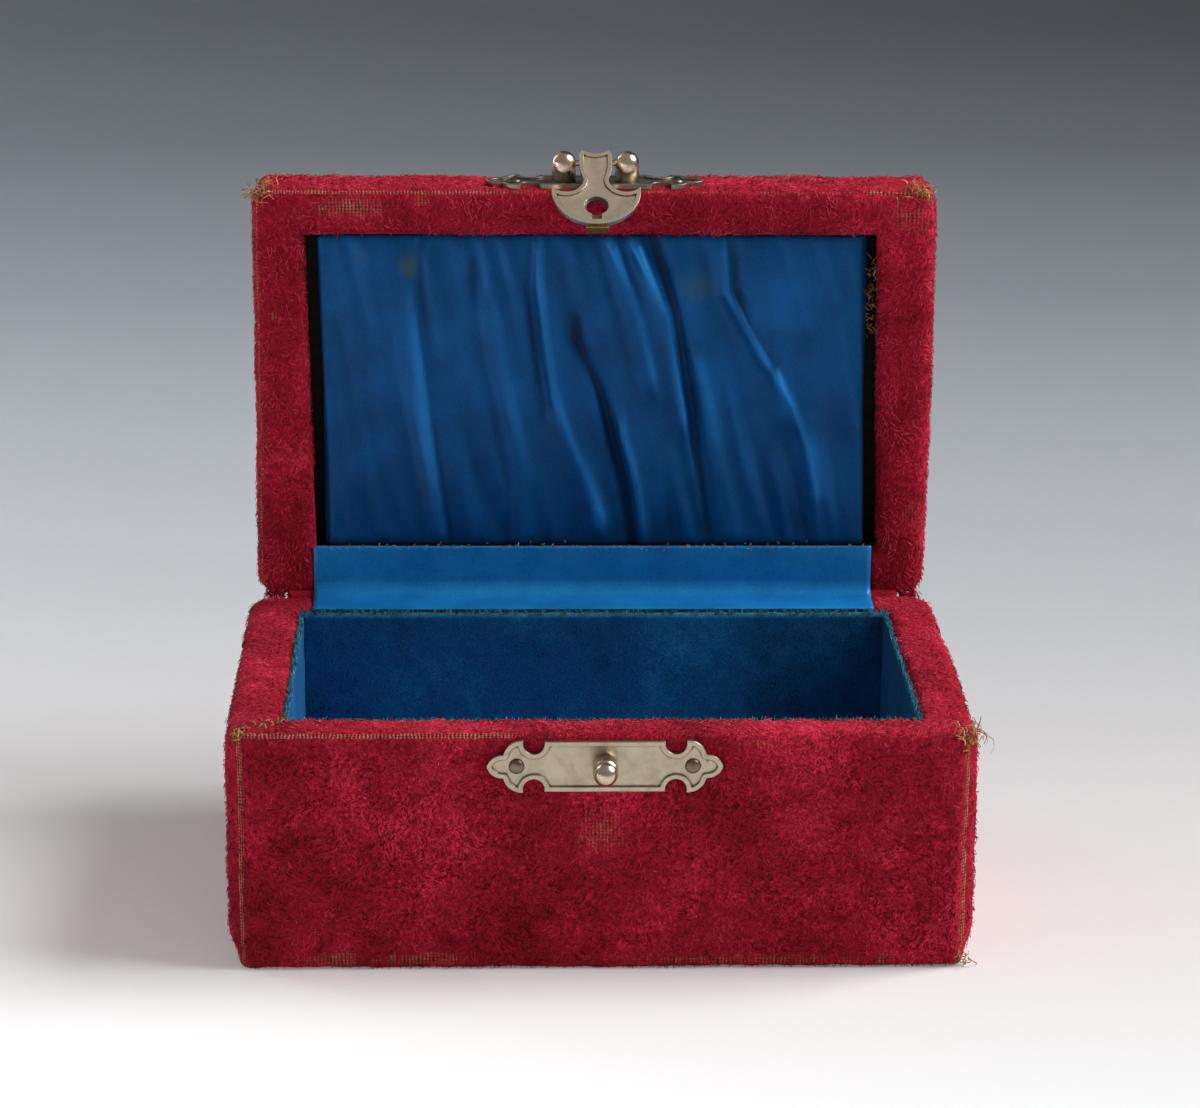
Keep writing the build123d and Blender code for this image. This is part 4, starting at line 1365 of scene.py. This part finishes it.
finishes = {
    "pine_board": make_pine("pine_board", rgb(168, 124, 78), rgb(222, 188, 140)),
    "backing_card": make_plain("backing_card", rgb(120, 98, 66), rgb(160, 136, 98), 9 * mm, 0.85, 0.4),
    "cotton_wadding": make_plain("cotton_wadding", rgb(205, 196, 178), rgb(238, 232, 220), 4 * mm,
                                 1.0, 0.8),
    "wire_brads": make_metal("wire_brads", rgb(150, 146, 140), rgb(90, 70, 56), 0.4, 0.6, 0.2),
    "dark_pins": dark_pin,
    "turned_nickel": turned_nickel,
    "nickel_sheet": nickel,
    "brass_leaf": brass,
    "crimson_velvet": crimson_velvet,
    "blue_velvet": blue_velvet,
    "blue_satin": pad_satin,
}
slot_of = {entry["node"]: entry["material_slot"] for entry in frame["record"]["subparts"]}
# painted shade: the lid's boards are coloured nearly black for the shade in the deep gap beside the satin
painted_gap_shade = make_pine("painted_gap_shade_pine", rgb(14, 6, 5), rgb(44, 22, 15))
for name, piece in nodes.items():
    paints_gap_shade = name.startswith("lid") and name.endswith("board")
    piece.data.materials.clear()
    piece.data.materials.append(painted_gap_shade if paints_gap_shade else finishes[slot_of[name]])
print("slots:", sorted(set(slot_of.values())))

# %% [markdown]
# The box stands on a white table that runs up into a grey-blue wall. One sheet makes both, bent
# once. Its colour is painted light: it darkens with the distance behind the box and towards the right, as
# the light falls off, and for camera and glossy rays a little of it glows.

# %% Floor and backdrop
# distance behind the middle of the box in metres, and the colour of the sheet there
sheet_tones = [(-0.10, (255, 255, 255)), (-0.02, (239, 235, 233)), (0.07, (213, 211, 211)),
               (0.16, (191, 193, 196)), (0.28, (172, 176, 180)), (0.44, (143, 148, 153)),
               (0.66, (114, 119, 124)), (1.00, (94, 99, 104))]


def make_stage_material():
    material, tree, surface = new_material("studio_sheet", Roughness=0.85, Specular_IOR_Level=0.1)
    split = put(tree, "SeparateXYZ", Vector=object_place(tree)).outputs
    far = maths("ADD", split["Y"], split["Z"])
    colour = rgb(*sheet_tones[0][1])
    for (start, _), (end, tone) in zip(sheet_tones, sheet_tones[1:]):
        colour = blend_colours(grade(far, start, end, ends="LINEAR"), colour, rgb(*tone))
    # painted light: the sheet darkens towards the right
    painted_side_falloff = maths("EXPONENT", maths("MULTIPLY", split["X"], -1.4))
    lit = put(tree, "CombineXYZ", X=painted_side_falloff, Y=painted_side_falloff, Z=painted_side_falloff).outputs[0]
    colour = blend_colours(1.0, colour, lit, "MULTIPLY")
    feed(surface.inputs["Base Color"], colour)
    # painted light: for camera, glossy and transmission rays, 15 percent of the sheet glows in its own
    # colour
    rays = put(tree, "LightPath").outputs
    seen = maths("MAXIMUM", rays["Is Camera Ray"],
                 maths("MAXIMUM", rays["Is Glossy Ray"], rays["Is Transmission Ray"]))
    plain = put(tree, "Emission", Color=colour, Strength=1.0)
    both = put(tree, "MixShader", Fac=maths("MULTIPLY", seen, 0.15))
    tree.links.new(surface.outputs[0], both.inputs[1])
    tree.links.new(plain.outputs[0], both.inputs[2])
    output = next(n for n in tree.nodes if n.type == "OUTPUT_MATERIAL")
    tree.links.new(both.outputs[0], output.inputs["Surface"])
    return material


def make_stage():
    half_width, near, bend, radius, top = 3.0, -2.0, 0.9, 0.5, 3.0
    turns = [radians(90) * i / 16 for i in range(1, 17)]
    profile = [(near, 0.0), (bend, 0.0)]
    profile += [(bend + radius * sin(turn), radius - radius * cos(turn)) for turn in turns]
    profile.append((bend + radius, top))
    bm = cloth_along_x(profile, half_width, 2 * half_width)
    mesh = bpy.data.meshes.new("studio")
    bm.to_mesh(mesh)
    bm.free()
    mesh.materials.append(make_stage_material())
    mesh.shade_smooth()
    studio = bpy.data.objects.new("studio", mesh)
    bpy.context.scene.collection.objects.link(studio)


make_stage()

# %% [markdown]
# Soft daylight comes from above and from the right, so the shadow falls to the left and the rims
# catch the light. One large area lamp and a pale world are enough.

# %% Light


def lamp(name, place, target, size, power, colour):
    data = bpy.data.lights.new(name, "AREA")
    data.shape = "DISK"
    data.size = size
    data.energy = power
    data.color = colour
    made = bpy.data.objects.new(name, data)
    made.location = place
    made.rotation_euler = (Vector(target) - Vector(place)).to_track_quat("-Z", "Y").to_euler()
    bpy.context.scene.collection.objects.link(made)


lamp("key", (0.9, 0.04, 0.86), (0, 0, 0.05), 0.8, 19.5, (0.96, 0.98, 1.0))
world = bpy.data.worlds.new("world")
bpy.context.scene.world = world
world.use_nodes = True
background = world.node_tree.nodes["Background"].inputs
background["Color"].default_value = (1.0, 0.95, 0.9, 1)
background["Strength"].default_value = 0.3
